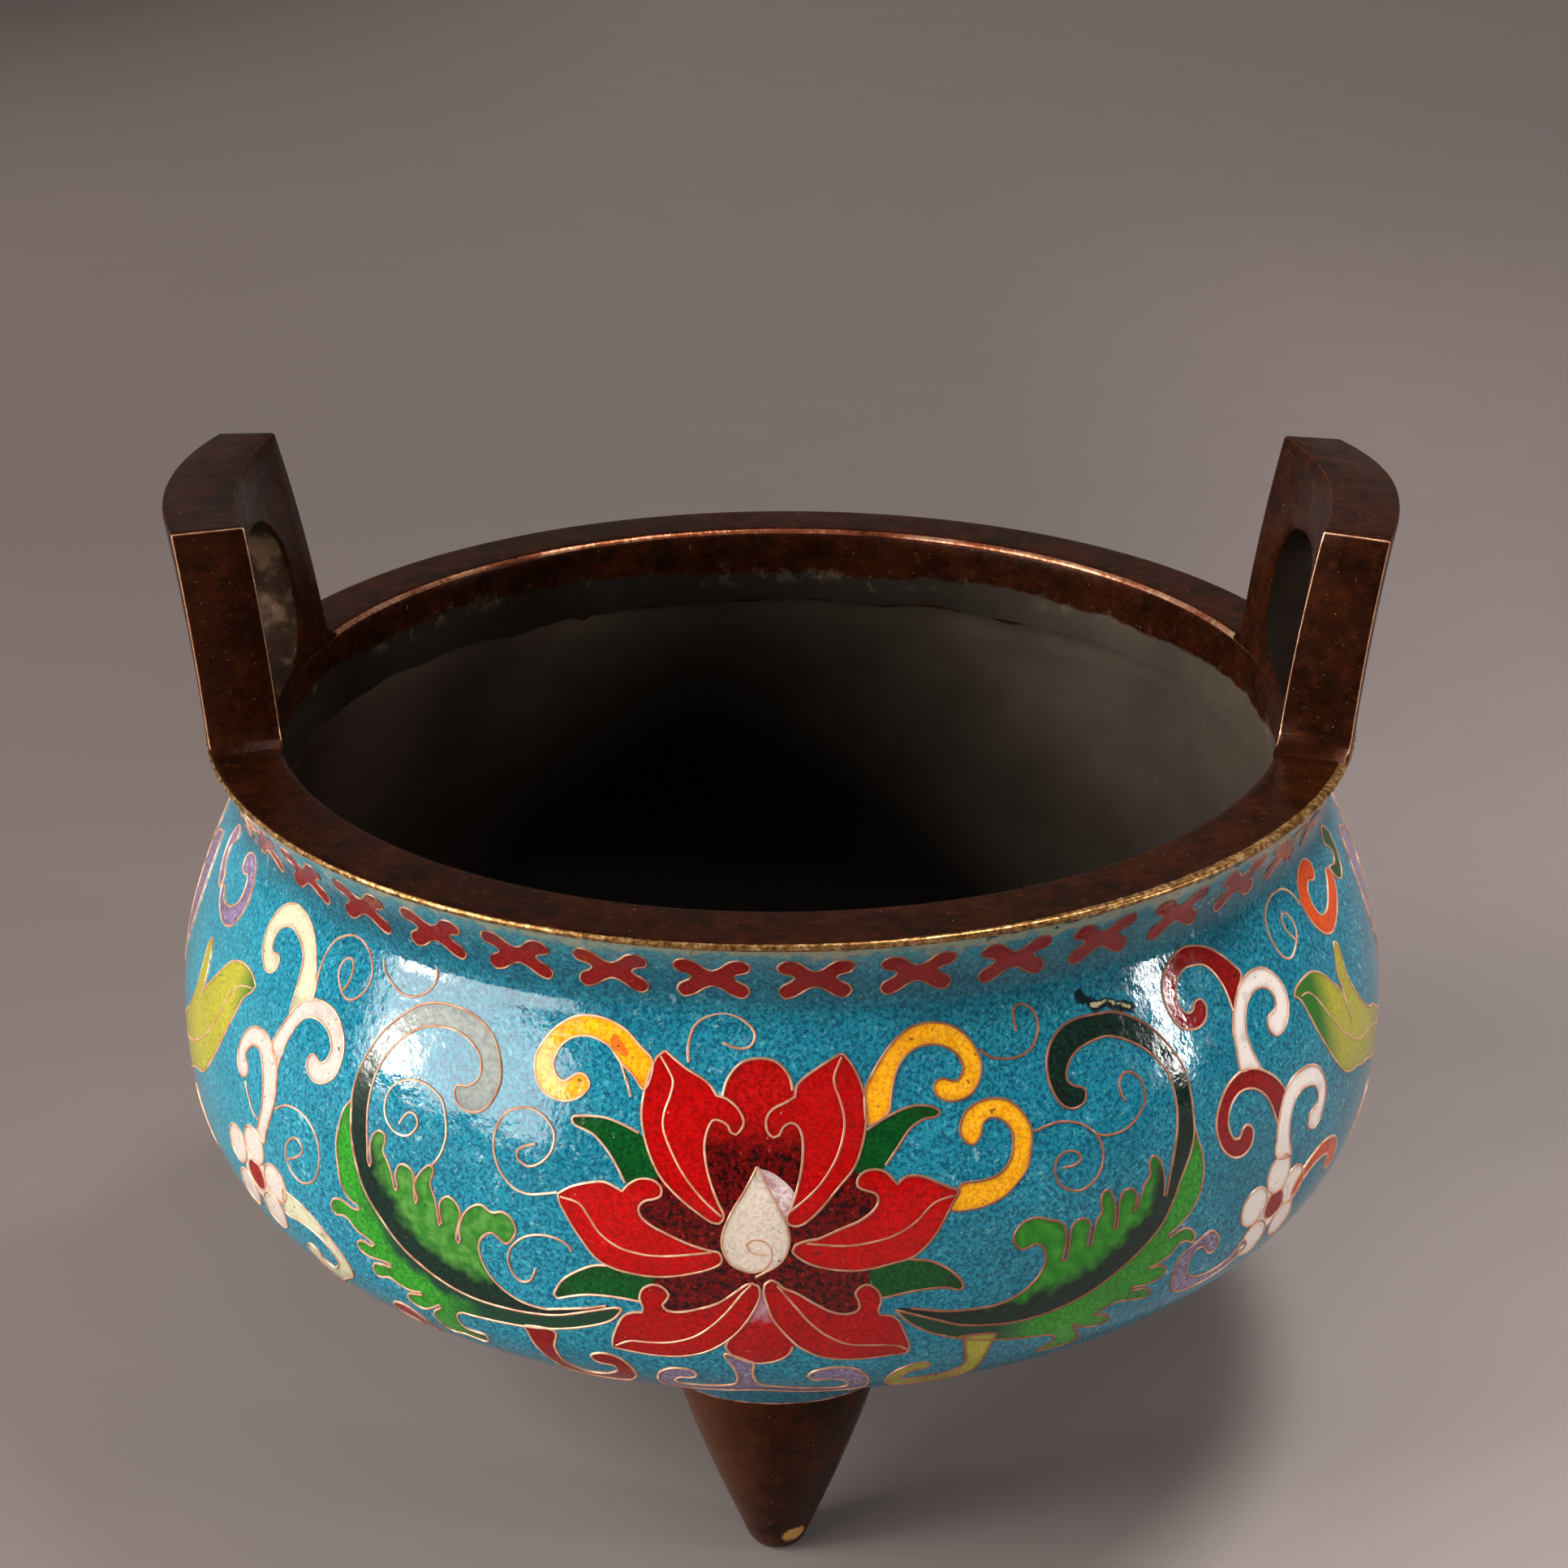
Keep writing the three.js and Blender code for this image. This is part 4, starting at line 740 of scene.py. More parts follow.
# The rest of those flowers isn't seen. Places are from the middle of the flower.
WIDE_FLOWER_MIDDLE = {
    "top_petal": mirrored([(0, 21.4), (-2.6, 20.8), (-4, 19), (-3.8, 17.2), (-2, 15.4)]),
    "pearl": mirrored([(0, 12.6), (0, 12.6), (-2.4, 9), (-3.8, 5.2), (-3.4, 2), (-1.6, 0.2)]),
    "bottom_petal": mirrored([(0, -5), (-2.2, -8), (-4, -11.4), (-3, -14.2), (0, -15.4)]),
}
WIDE_FLOWER_SIDES = {
    "upper_petal": [(11.6, 20.4), (11.6, 20.4), (13, 17), (13.6, 13.4), (13, 9.6), (10.4, 6),
                    (7.4, 2.8), (6.6, 6.4), (6.8, 10.4), (6.2, 13.6), (5, 14.2), (5.2, 16.6),
                    (7.6, 18.8)],
    "lower_petal": [(25, -14), (25, -14), (19, -15.2), (11.4, -13.4), (6.2, -9.4), (3.4, -4.8),
                    (5.8, -4), (11, -6.4), (16, -7.4), (19.4, -6.2), (21.6, -8.6), (24.4, -10.4)],
}
# The left half of a floret round the neck
FLORET = [(0, 0.95), (-0.9, 1.35), (-2, 2.3), (-3.3, 2.4), (-4.05, 1.6), (-3.7, 0.8), (-2.7, 0.5),
          (-2.2, 0.05), (-2.6, -0.4), (-3.5, -0.9), (-3.9, -1.65), (-3.3, -2.35), (-2.1, -2.1),
          (-0.9, -1.35), (0, -1.05)]
FLORET_CLIMB = 28.2
FLORET_COUNT = 40
FIRST_FLORET = 3.4
NARROWING = 0.93


# Finishes. Colours are given as the photograph's 0 to 255 values.

def srgb(red, green, blue):
    """A colour made linear."""
    def one(value):
        value /= 255
        return value / 12.92 if value <= 0.04045 else ((value + 0.055) / 1.055) ** 2.4
    return one(red), one(green), one(blue), 1


class Finish:
    """A material with its main shader and colour so far, and short ways to add nodes to it."""

    def __init__(self, name, roughness, metallic=0.0, gloss=0.5):
        self.material = bpy.data.materials.new(name)
        self.material.use_nodes = True
        self.nodes = self.material.node_tree.nodes
        self.links = self.material.node_tree.links
        self.shader = self.nodes["Principled BSDF"]
        self.shader.inputs["Roughness"].default_value = roughness
        self.shader.inputs["Metallic"].default_value = metallic
        self.shader.inputs["Specular IOR Level"].default_value = gloss
        self.where = self.nodes.new("ShaderNodeTexCoord")
        self.colour = None

    def put(self, value, socket):
        if isinstance(value, bpy.types.NodeSocket):
            self.links.new(value, socket)
        else:
            socket.default_value = value

    def place(self, uv=False):
        return self.where.outputs["UV" if uv else "Object"]

    def grain(self, scale, detail=2.0, roughness=0.5, uv=False):
        """Cloudy pattern, scale being how many times it repeats in a metre."""
        node = self.nodes.new("ShaderNodeTexNoise")
        node.inputs["Scale"].default_value = scale
        node.inputs["Detail"].default_value = detail
        node.inputs["Roughness"].default_value = roughness
        self.links.new(self.place(uv), node.inputs["Vector"])
        return node.outputs["Fac"]

    def patches(self, grain, *stops):
        """The values or colours of the stops, each (position, value), where a grain reaches them."""
        node = self.nodes.new("ShaderNodeValToRGB")
        self.links.new(self.grain(*grain), node.inputs["Fac"])
        elements = node.color_ramp.elements
        while len(elements) < len(stops):
            elements.new(0.5)
        for element, (position, value) in zip(elements, stops):
            element.position = position
            element.color = value if isinstance(value, tuple) else (value, value, value, 1)
        return node.outputs["Color"]

    def mix(self, amount, first, second):
        node = self.nodes.new("ShaderNodeMix")
        node.data_type = "RGBA"
        self.put(amount, node.inputs["Factor"])
        self.put(first, node.inputs[6])
        self.put(second, node.inputs[7])
        return node.outputs[2]

    def paint(self, tone, *amounts):
        """Lays a tone over the colour, as much as the product of the amounts."""
        self.colour = self.mix(self.math("MULTIPLY", *amounts), self.colour, tone)

    def math(self, kind, first, *others):
        """The sum, product and so on of all that is given."""
        for other in others:
            node = self.nodes.new("ShaderNodeMath")
            node.operation = kind
            self.put(first, node.inputs[0])
            self.put(other, node.inputs[1])
            first = node.outputs[0]
        return first

    def wavy(self, value, reach, *grain):
        """A value that wanders by as much as a grain's height times the reach."""
        return self.math("ADD", value, self.math("MULTIPLY", self.grain(*grain), reach))

    def axis(self, which, uv=False):
        node = self.nodes.new("ShaderNodeSeparateXYZ")
        self.links.new(self.place(uv), node.inputs[0])
        return node.outputs[which]

    def between(self, value, low, high):
        """0 at low, 1 at high and beyond."""
        node = self.nodes.new("ShaderNodeMapRange")
        self.put(value, node.inputs["Value"])
        node.inputs["From Min"].default_value = low
        node.inputs["From Max"].default_value = high
        return node.outputs["Result"]

    def along(self, which, low, high, uv=False):
        """0 where an axis is at low, 1 where it is at high and beyond."""
        return self.between(self.axis(which, uv), low, high)

    def bump(self, depth, strength, below, *grain):
        """Relief of a grain's shape on top of the relief below it."""
        node = self.nodes.new("ShaderNodeBump")
        node.inputs["Distance"].default_value = depth
        node.inputs["Strength"].default_value = strength
        self.links.new(self.grain(*grain), node.inputs["Height"])
        if below is not None:
            self.links.new(below, node.inputs["Normal"])
        return node.outputs["Normal"]

    def mark(self, name):
        node = self.nodes.new("ShaderNodeAttribute")
        node.attribute_name = name
        return node.outputs["Fac"]

    def vector(self, kind, first, second, result="Vector"):
        node = self.nodes.new("ShaderNodeVectorMath")
        node.operation = kind
        self.put(first, node.inputs[0])
        self.put(second, node.inputs["Scale" if kind == "SCALE" else 1])
        return node.outputs[result]

    def near(self, spot, reach, ragged=0.5, end=None):
        """1 at a spot given in mm, or along the line from it to an end, 0 past a ragged edge."""
        start = Vector(spot) * MM
        away = self.vector("SUBTRACT", self.place(), start)
        if end:
            way = Vector(end) * MM - start
            share = self.between(self.vector("DOT_PRODUCT", away, way, "Value"), 0,
                                 way.length_squared)
            distance = self.vector("DISTANCE", away, self.vector("SCALE", way, share), "Value")
        else:
            distance = self.vector("LENGTH", away, start, "Value")
        edge = (1 + ragged) * reach * MM
        return self.between(self.wavy(distance, 2 * ragged * reach * MM, 1100, 4, 0.65),
                            edge, edge * 0.86)

    def done(self, roughness=None, normal=None, metallic=None):
        for value, name in ((self.colour, "Base Color"), (roughness, "Roughness"),
                            (normal, "Normal"), (metallic, "Metallic")):
            if value is not None:
                self.put(value, self.shader.inputs[name])
        return self.material


def enamel(name, tones, deep_share=0.5, light_share=0.3, shade=None, grains=2600, edge=0.5):
    """Fired enamel: ground glass grains of a deeper and a lighter tone, pits and a polished wave."""
    finish = Finish(name, 0.12, gloss=0.4)
    finish.shader.inputs["IOR"].default_value = 1.5
    finish.colour, deep, light = [srgb(*tone) for tone in tones]
    finish.paint(deep, finish.patches((grains, 3, 0.7), (0.43, deep_share), (0.54, 0)))
    finish.paint(light, finish.patches((2100, 3, 0.65), (0.56, 0), (0.67, light_share)))
    finish.paint(deep, finish.patches((140, 3), (0.35, 0), (0.7, 1)), 0.35)
    if shade:
        shade(finish)
    if edge:
        # Soot and flux settled along the wires, and painted shade of the wires in the same dark rim
        close = finish.between(finish.mark("from_edge"), 0.5, 0.0)
        uneven = finish.patches((500, 3, 0.6), (0.35, 0.3), (0.6, edge))
        finish.paint(finish.mix(0.5, deep, srgb(40, 22, 14)), close, uneven)
    finish.paint(srgb(205, 200, 190), finish.patches((1050, 4, 0.75), (0.69, 0), (0.74, 0.5)))
    finish.paint(srgb(14, 24, 28), finish.patches((1250, 3, 0.7), (0.3, 0.75), (0.34, 0)))
    wave = finish.bump(0.00018, 0.5, None, 230, 2)
    ripple = finish.bump(0.00005, 0.5, wave, 900, 2, 0.5)
    rough = finish.bump(0.00003, 0.5, ripple, 2300, 1.5, 0.6)
    return finish.done(finish.patches((600, 4, 0.7), (0.35, 0.03), (0.72, 0.2)), rough)


LIP_PITS = (((24.5, -53.5, 74.0), 0.36), ((27.8, -51.3, 72.7), 0.4), ((24.4, -53.8, 76.3), 0.4),
            ((20.6, -55.9, 76.0), 0.28), ((-18.5, -56.4, 75.6), 0.24))
# The chip above the right scroll: its dark hollow and the pale body of the enamel in it
CHIP_DARK = (((27.1, -51.4, 67.8), (28.3, -51.1, 66.9), 0.7),
             ((28.0, -51.2, 67.1), (32.2, -49.6, 65.8), 0.55))
CHIP_PALE = (((28.2, -51.2, 66.9), (29.9, -50.6, 66.9), 0.26),
             ((29.9, -50.6, 66.9), (31.9, -49.8, 66.0), 0.24))
NEAR_BLACK = srgb(14, 12, 10)


def turquoise_shade(finish):
    """Grimy under the lip, with painted shade in the hollow of the neck and low on the belly near
    the feet, painted light on the left side, and chipped once.
    """
    height = finish.axis(2)
    # Painted light: paler towards the left side
    finish.paint(srgb(84, 186, 200), finish.along(0, -0.042, -0.06), 0.2)
    finish.paint(srgb(84, 122, 114), finish.between(height, 0.0735, 0.0762), 0.5)
    # Painted shade in the hollow of the neck under the lip
    low_neck = finish.wavy(height, 0.006, 130, 5, 0.65)
    finish.paint(srgb(8, 36, 44), finish.between(low_neck, 0.0695, 0.0735),
                 finish.between(low_neck, 0.0785, 0.0755), 0.52)
    # The enamel ends in a ragged line under the ring, a little lower on the right
    right = finish.math("MULTIPLY", finish.along(0, -0.005, 0.025), 0.0007)
    rough_edge = finish.math("ADD", finish.wavy(height, 0.005, 420, 5, 0.7), right)
    finish.paint(srgb(146, 140, 108), finish.between(rough_edge, 0.0783, 0.0791), 0.7)
    finish.paint(srgb(30, 26, 20), finish.between(rough_edge, 0.0797, 0.0802))
    # Painted shade low on the belly
    finish.paint(srgb(14, 56, 72), finish.between(height, 0.034, 0.026), 0.6)
    finish.paint(srgb(158, 204, 208), finish.patches((900, 5, 0.75), (0.6, 0), (0.66, 0.55)),
                 finish.patches((60, 2), (0.45, 0), (0.62, 1)))
    for spot, reach in LIP_PITS:
        finish.paint(srgb(12, 28, 30), finish.near(spot, reach))
    for lines, ragged, tone in ((CHIP_DARK, 1.4, (10, 30, 34)), (CHIP_PALE, 1.8, (190, 176, 136))):
        for spot, end, reach in lines:
            finish.paint(srgb(*tone), finish.near(spot, reach, ragged, end))


def white_shade(finish):
    """Painted light: paler on the right."""
    finish.paint(srgb(248, 236, 228), finish.along(0, -0.01, 0.035), 0.7)


def hook_shade(finish):
    """A fleck of red that ran into the yellow."""
    fleck = finish.near((-14.9, -57.0, 66.6), 0.5, 0.9, (-13.9, -57.3, 65.4))
    finish.paint(srgb(214, 66, 30), fleck, 0.7)


def lime_shade(finish):
    """The side petals' tips are green."""
    across = finish.math("ABSOLUTE", finish.axis(0, True), 0)
    finish.paint(srgb(44, 104, 34), finish.between(across, 67.5, 64), finish.between(across, 50, 55))


def heart_shade(finish):
    """Bright red at the top of the heart, fading into the maroon grains below."""
    rise = finish.wavy(finish.wavy(finish.axis(1, True), 3.0, 1.1, 2, 0.5, True),
                       3.0, 4.5, 3, 0.5, True)
    bright = finish.mix(finish.patches((2400, 3, 0.7), (0.42, 0), (0.6, 1)),
                        srgb(134, 2, 2), srgb(184, 10, 8))
    finish.paint(bright, finish.between(rise, 15.0, 18.0))


def bottom_shade(finish):
    """Lavender at the narrow top of the lowest petal."""
    rise = finish.wavy(finish.axis(1, True), 1.6, 1.4, 2, 0.5, True)
    finish.paint(srgb(178, 132, 150), finish.between(rise, -4.2, -2.4))


def scroll_shade(finish):
    """A painted reflection, grey, at the top of the left curl; dark along the outer wire, bright
    green in the lobes.
    """
    left = finish.along(0, 2, -2, True)
    climb = finish.wavy(finish.axis(1, True), 3.2, 0.5, 3, 0.5, True)
    # Painted reflection: the window light's grey haze on the left curl
    painted_haze = finish.mix(finish.patches((2000, 3, 0.7), (0.4, 0), (0.6, 1)),
                      srgb(64, 74, 64), srgb(112, 120, 106))
    finish.paint(painted_haze, finish.between(climb, 11, 17), left)
    away = finish.wavy(finish.mark("from_wire"), 3.2, 0.5, 3, 0.5, True)
    bright = finish.mix(finish.patches((0.8, 3, 0.5, True), (0.4, 0), (0.7, 1)),
                        srgb(30, 118, 24), srgb(60, 148, 38))
    paler = finish.mix(finish.patches((0.9, 3, 0.5, True), (0.4, 0), (0.62, 1)),
                       srgb(44, 114, 34), srgb(80, 138, 58))
    finish.paint(finish.mix(left, bright, paler), finish.between(away, 3.7, 5.2),
                 finish.between(climb, 11, 8.5))


def scroll_leaf_shade(finish):
    """Dark green at the leaf's tip, and along the wire on the left."""
    across = finish.axis(0, True)
    near_wire = finish.between(finish.wavy(finish.mark("from_wire"), 2.4, 0.5, 3, 0.5, True), 3, 2)
    dark = finish.math("MULTIPLY", near_wire, finish.between(across, 2, -2),
                       finish.between(across, -44, -38))
    far = finish.math("MULTIPLY", finish.between(across, -34, -29), finish.between(across, 24, 20))
    finish.paint(srgb(20, 56, 40), finish.math("MAXIMUM", dark, far))


def copper_wire(name, dull, bright):
    """Copper wire with gilding, with painted shade darkening it on the front's right half."""
    finish = Finish(name, 0.45, 0.4)
    finish.colour = srgb(*dull)
    finish.paint(srgb(*bright), finish.patches((700, 3), (0.35, 0), (0.65, 1)))
    # Painted shade on the front's right half
    finish.paint(srgb(122, 58, 36), finish.along(0, -0.01, 0.016), finish.along(0, 0.043, 0.034),
                 0.8)
    return finish.done(finish.patches((900, 2), (0.3, 0.36), (0.7, 0.6)))


def ash_with_painted_shade(finish):
    """Grey ash in the bowl, with painted light and shade: paler at the right and up the sides,
    painted shade going black in the middle and towards the bottom.
    """
    colour = finish.mix(finish.patches((60, 5, 0.6), (0.3, 0), (0.7, 1)),
                        srgb(76, 66, 57), srgb(98, 86, 74))
    # Painted light: browner on the left, paler on the right
    colour = finish.mix(finish.along(0, -0.01, -0.05), colour, srgb(82, 66, 58))
    # Painted shade: black in the middle and deep down, less so up the sides
    middle = finish.math("ABSOLUTE", finish.math("ADD", finish.axis(0), 0.01), 0)
    side = finish.math("MULTIPLY", finish.between(middle, 0.002, 0.05), 0.028)
    deep = finish.math("ADD", finish.axis(2), side)
    return finish.mix(finish.between(deep, 0.088, 0.048), colour, NEAR_BLACK)


def worn_and_highlit_edges(finish):
    """Bare metal where handling wore the edges, and painted highlights along them. Gives how
    metallic that is.
    """
    ragged = finish.wavy(finish.mark("wear_and_highlight"), 0.5, 1300, 4, 0.7)
    bare = finish.between(ragged, 0.7, 0.95)
    bright = finish.mix(finish.between(ragged, 0.9, 1.2), srgb(150, 80, 50), srgb(252, 208, 168))
    finish.paint(bright, bare)
    return finish.math("MULTIPLY", bare, 0.75)


def dust_and_light_in_holes(finish):
    """Pale dust and painted light on the walls of the handles' holes, more on the left one."""
    blotch = finish.patches((260, 5, 0.6), (0.36, srgb(28, 20, 14)), (0.52, srgb(48, 36, 27)),
                            (0.64, srgb(92, 72, 56)))
    blotch = finish.mix(finish.along(0, 0.03, -0.03), srgb(38, 31, 26), blotch)
    finish.paint(blotch, finish.mark("dust_and_light"), 0.9)


def gilt_edge(finish):
    """Flaking gilding on the ring's outer edge. Gives how metallic that is."""
    gold = finish.between(finish.wavy(finish.mark("gilt"), 0.8, 900, 5, 0.75), 0.95, 1.05)
    leaf = finish.patches((1300, 5, 0.75), (0.36, srgb(66, 44, 26)), (0.5, srgb(146, 104, 56)),
                          (0.64, srgb(216, 176, 124)))
    finish.paint(leaf, gold)
    return finish.math("MULTIPLY", gold, 0.7)


def ash_and_shade_on_collar(finish):
    """Ash over the lower part of the collar, higher on the left, with painted shade that is lighter
    on the right. Gives where it is.
    """
    left = finish.math("MULTIPLY", finish.along(0, 0, -0.05), -0.0016)
    low = finish.math("ADD", finish.wavy(finish.axis(2), 0.0042, 75, 6, 0.62), left)
    sooty = finish.between(low, 0.0742, 0.0738)
    # Painted shade: the ash goes blacker except on the right
    soot_and_shade = finish.math("MULTIPLY", finish.along(0, 0.05, 0.02), 0.54)
    soot_and_shade = finish.math("ADD", soot_and_shade, 0.3)
    finish.paint(finish.mix(soot_and_shade, ash_with_painted_shade(finish), NEAR_BLACK), sooty)
    finish.paint(srgb(104, 84, 68), finish.between(low, 0.0752, 0.0744),
                 finish.between(low, 0.0722, 0.0736),
                 finish.patches((260, 5, 0.7), (0.55, 0), (0.66, 0.5)))
    return sooty


def bronze(name, part):
    """Dark red brown patina on bronze, bright where handling wore the edges and where highlights are
    painted on them.
    """
    finish = Finish(name, 0.3, gloss=0.1)
    finish.colour = srgb(31, 13, 5)
    for tone, *patches in (
            ((62, 26, 9), (240, 5, 0.65), (0.34, 0), (0.68, 1)),
            ((15, 9, 5), (760, 5, 0.7), (0.34, 0.6), (0.5, 0)),
            ((84, 42, 17), (620, 5, 0.7), (0.55, 0), (0.68, 0.4)),
            ((122, 64, 32), (1700, 4, 0.75), (0.64, 0), (0.71, 0.45)),
            ((170, 150, 130), (3200, 2), (0.73, 0), (0.76, 0.7))):
        finish.paint(srgb(*tone), finish.patches(*patches))
    metal = 0.4
    if part == "foot":
        # Painted light: the foot paler on its left side
        finish.paint(srgb(112, 62, 36), finish.along(0, -0.001, -0.009), 0.5)
        finish.paint(srgb(206, 156, 84), finish.near((0.8, -44.6, 3.0), 1.5, 0.4))
    else:
        metal = finish.math("MAXIMUM", worn_and_highlit_edges(finish), metal)
    if part == "handle":
        dust_and_light_in_holes(finish)
    if part == "ring":
        metal = finish.math("MAXIMUM", gilt_edge(finish), metal)
        bare = finish.math("MULTIPLY", ash_and_shade_on_collar(finish), 0.4)
        metal = finish.math("SUBTRACT", metal, bare)
    dents = finish.bump(0.00008, 0.5, None, 1100, 5, 0.72)
    return finish.done(finish.patches((420, 4), (0.3, 0.2), (0.72, 0.38)), dents, metal)


def lining_patina():
    """Grey brown lining, with painted shade going black towards the bottom."""
    finish = Finish("sooty_shaded_lining", 0.85, gloss=0.03)
    finish.colour = ash_with_painted_shade(finish)
    finish.paint(srgb(92, 82, 70), finish.patches((420, 6, 0.75), (0.64, 0), (0.72, 0.2)))
    return finish.done(None, finish.bump(0.0002, 0.6, None, 300, 5, 0.7))


def old_copper():
    finish = Finish("old_copper", 0.5, 0.5)
    finish.colour = srgb(58, 30, 18)
    finish.paint(srgb(96, 56, 34), finish.patches((220, 4), (0.35, 0), (0.65, 1)))
    return finish.done(None, finish.bump(0.0002, 0.5, None, 500, 4))


def studio_paper():
    """Warm grey paper with painted light and shade: darker to the left and in the far left corner,
    paler far off, in a pool on the right and at the far right.
    """
    finish = Finish("grey_paper", 0.9, gloss=0.1)
    finish.colour = srgb(127, 115, 110)
    # Painted light and shade: paler to the right, far off and in a pool on the right, darker in the
    # far left corner
    finish.paint(srgb(146, 136, 133), finish.along(0, -0.16, 0.16))
    far = finish.along(1, -1.9, -1.2)
    finish.paint(srgb(176, 162, 158), far)
    finish.paint(srgb(166, 152, 150), finish.along(0, 0.05, 0.14), finish.along(1, -2.14, -1.98),
                 finish.along(1, -1.4, -1.75))
    finish.paint(srgb(134, 120, 116), far, finish.along(0, -0.05, -0.32))
    finish.paint(srgb(120, 110, 106), finish.patches((60, 4), (0.3, 0), (0.7, 0.05)))
    return finish.done()


# Each enamel's short name, slot and material, its middle, deep and light tones, the shares of the
# last two, and for some their own shade and how fine their grains are
ENAMEL_ROWS = (
    ("red", "red", "red", ((188, 2, 2), (120, 1, 1), (214, 34, 26)), 0.65, 0.25),
    ("low_red", "red", "low_red", ((172, 3, 3), (108, 1, 1), (196, 44, 36)), 0.65, 0.25),
    ("heart", "red", "heart", ((98, 3, 2), (12, 1, 1), (176, 22, 22)), 0.95, 0.6, heart_shade,
     1900),
    ("bottom", "red", "bottom_petal", ((168, 4, 4), (108, 1, 1), (190, 52, 44)), 0.65, 0.25,
     bottom_shade),
    ("pearl", "white", "pearl", ((214, 199, 182), (164, 148, 130), (236, 230, 220)), 0.45, 0.5),
    ("pearl_shade", "white", "pearl_shade", ((222, 204, 202), (140, 62, 66), (244, 236, 232)),
     0.6, 0.6, None, 1700),
    ("green", "green", "leaf_green", ((3, 80, 27), (1, 42, 14), (46, 132, 62)), 0.65, 0.2),
    ("scroll", "green", "scroll_green", ((14, 44, 34), (4, 16, 12), (46, 80, 62)), 0.65, 0.3,
     scroll_shade),
    ("scroll_leaf", "green", "scroll_leaf", ((48, 150, 36), (16, 78, 18), (124, 200, 92)), 0.55,
     0.3, scroll_leaf_shade),
    ("yellow", "yellow", "yellow", ((255, 188, 18), (224, 130, 8), (255, 218, 110)), 0.75, 0.35,
     hook_shade),
    ("cream", "white", "cream", ((202, 198, 166), (166, 164, 128), (224, 220, 196)), 0.4, 0.4),
    ("white", "white", "white", ((210, 197, 185), (172, 156, 144), (230, 222, 212)), 0.4, 0.4,
     white_shade),
    ("lavender", "white", "lavender", ((138, 124, 154), (92, 70, 100), (218, 206, 222)), 0.7,
     0.6),
    ("side_lavender", "yellow", "side_lavender", ((138, 124, 154), (92, 70, 100),
                                                  (218, 206, 222)), 0.7, 0.6),
    ("orange", "yellow", "orange", ((222, 82, 24), (170, 52, 14), (240, 138, 76)), 0.5, 0.3),
    ("lime", "yellow", "lime", ((178, 168, 52), (124, 126, 28), (212, 202, 110)), 0.5, 0.35,
     lime_shade),
    ("dark_red", "red", "dark_red", ((148, 12, 12), (90, 5, 6), (192, 66, 58)), 0.6, 0.25),
    ("floret", "red", "floret", ((136, 5, 5), (84, 3, 3), (184, 56, 48)), 0.6, 0.25),
)
ENAMELS = {key: (enamel(f"{name}_enamel", *rest), f"{slot}_enamel")
           for key, slot, name, *rest in ENAMEL_ROWS}
TURQUOISE = enamel("turquoise_enamel", ((32, 134, 156), (4, 74, 98), (102, 190, 200)), 0.85, 0.5,
                   turquoise_shade, edge=0)
WIRE = copper_wire("gilt_copper_wire", (200, 138, 106), (236, 190, 158))
OLD_WIRE = copper_wire("old_copper_wire", (112, 56, 38), (226, 170, 132))
BRONZE = bronze("patinated_bronze", "handle")
RIM_BRONZE = bronze("rim_bronze", "ring")
FOOT_BRONZE = bronze("foot_bronze", "foot")


# The bowl

def profile_at(depth, spacing, top_drop=0.0):
    """The wall's profile, inwards by a depth, with points about a spacing apart."""
    points = []
    climb = CLIMBS[0]
    while climb > CLIMBS[-1]:
        radius, height = wall_slice(climb, -depth)
        if RIM_TOP - height >= top_drop and radius > 0:
            points.append((radius, height))
        climb -= spacing
    return points + [(0, wall_slice(CLIMBS[-1], -depth)[1])]


def layer(name, outer_depth, inner_depth, *, spacing, steps, top_drop=0.0):
    """A closed layer of the wall. Its hidden inside has half as many points."""
    outer = profile_at(outer_depth, spacing, top_drop)
    inner = profile_at(inner_depth, spacing * 2, top_drop)
    return turned_piece(name, outer + inner[::-1], steps)


def enamel_skin():
    skin = layer("turquoise_skin", 0, ENAMEL_DEPTH, spacing=1.2, steps=256)
    smooth(skin)
    return finished(skin, TURQUOISE, "turquoise_enamel", "enamel_ground")


def copper_body():
    body = layer("copper_body", COPPER_DEPTH, COPPER_INNER_DEPTH, spacing=2.2, steps=128)
    smooth(body)
    return finished(body, old_copper(), "copper", "bowl_copper")


def sooty_shaded_lining():
    """The lining, its upper edge nicked all round."""
    lining = layer("sooty_shaded_lining", LINING_DEPTH, LINING_INNER_DEPTH, spacing=1.4, steps=224,
                   top_drop=LINING_EDGE_DROP)
    nicked = (RIM_TOP - LINING_EDGE_DROP - NICKED_DEPTH) * MM
    for spot in lining.data.vertices:
        if spot.co.z > nicked:
            turn = math.atan2(spot.co.y, spot.co.x)
            nick = noise.noise(Vector((math.cos(turn) * 26, math.sin(turn) * 26, 0)))
            spot.co.z += (0.9 * nick + 0.4 * noise.noise(spot.co * 900)) * MM
    smooth(lining)
    return finished(lining, lining_patina(), "lining", "bowl_lining")


def ring_outline():
    """The ring's section: its face, its thin outer edge, the collar and the rounded bore."""
    steps = [(4, 0), (1.2, 0), (0.6, 0), (0.3, 0.04), (0.1, 0.14), (0, 0.32), (0.03, 0.52),
             (0.2, LIP_DROP + 0.02), (0.7, LIP_DROP + 0.06), (2.6, LIP_DROP), (5.2, 8),
             (5.6, COLLAR_DROP), (FACE_WIDTH - 0.1, COLLAR_DROP + 0.25)]
    steps += [(FACE_WIDTH, drop) for drop in (8.4, 6.8, 5, 3.4, 2.2)]
    for step in range(1, 10):
        turn = math.radians(10 * step)
        steps.append((FACE_WIDTH - INNER_ROUND * (1 - math.cos(turn)),
                      INNER_ROUND * (1 - math.sin(turn))))
    return [(RIM_RADIUS - inwards, RIM_TOP - drop) for inwards, drop in steps]


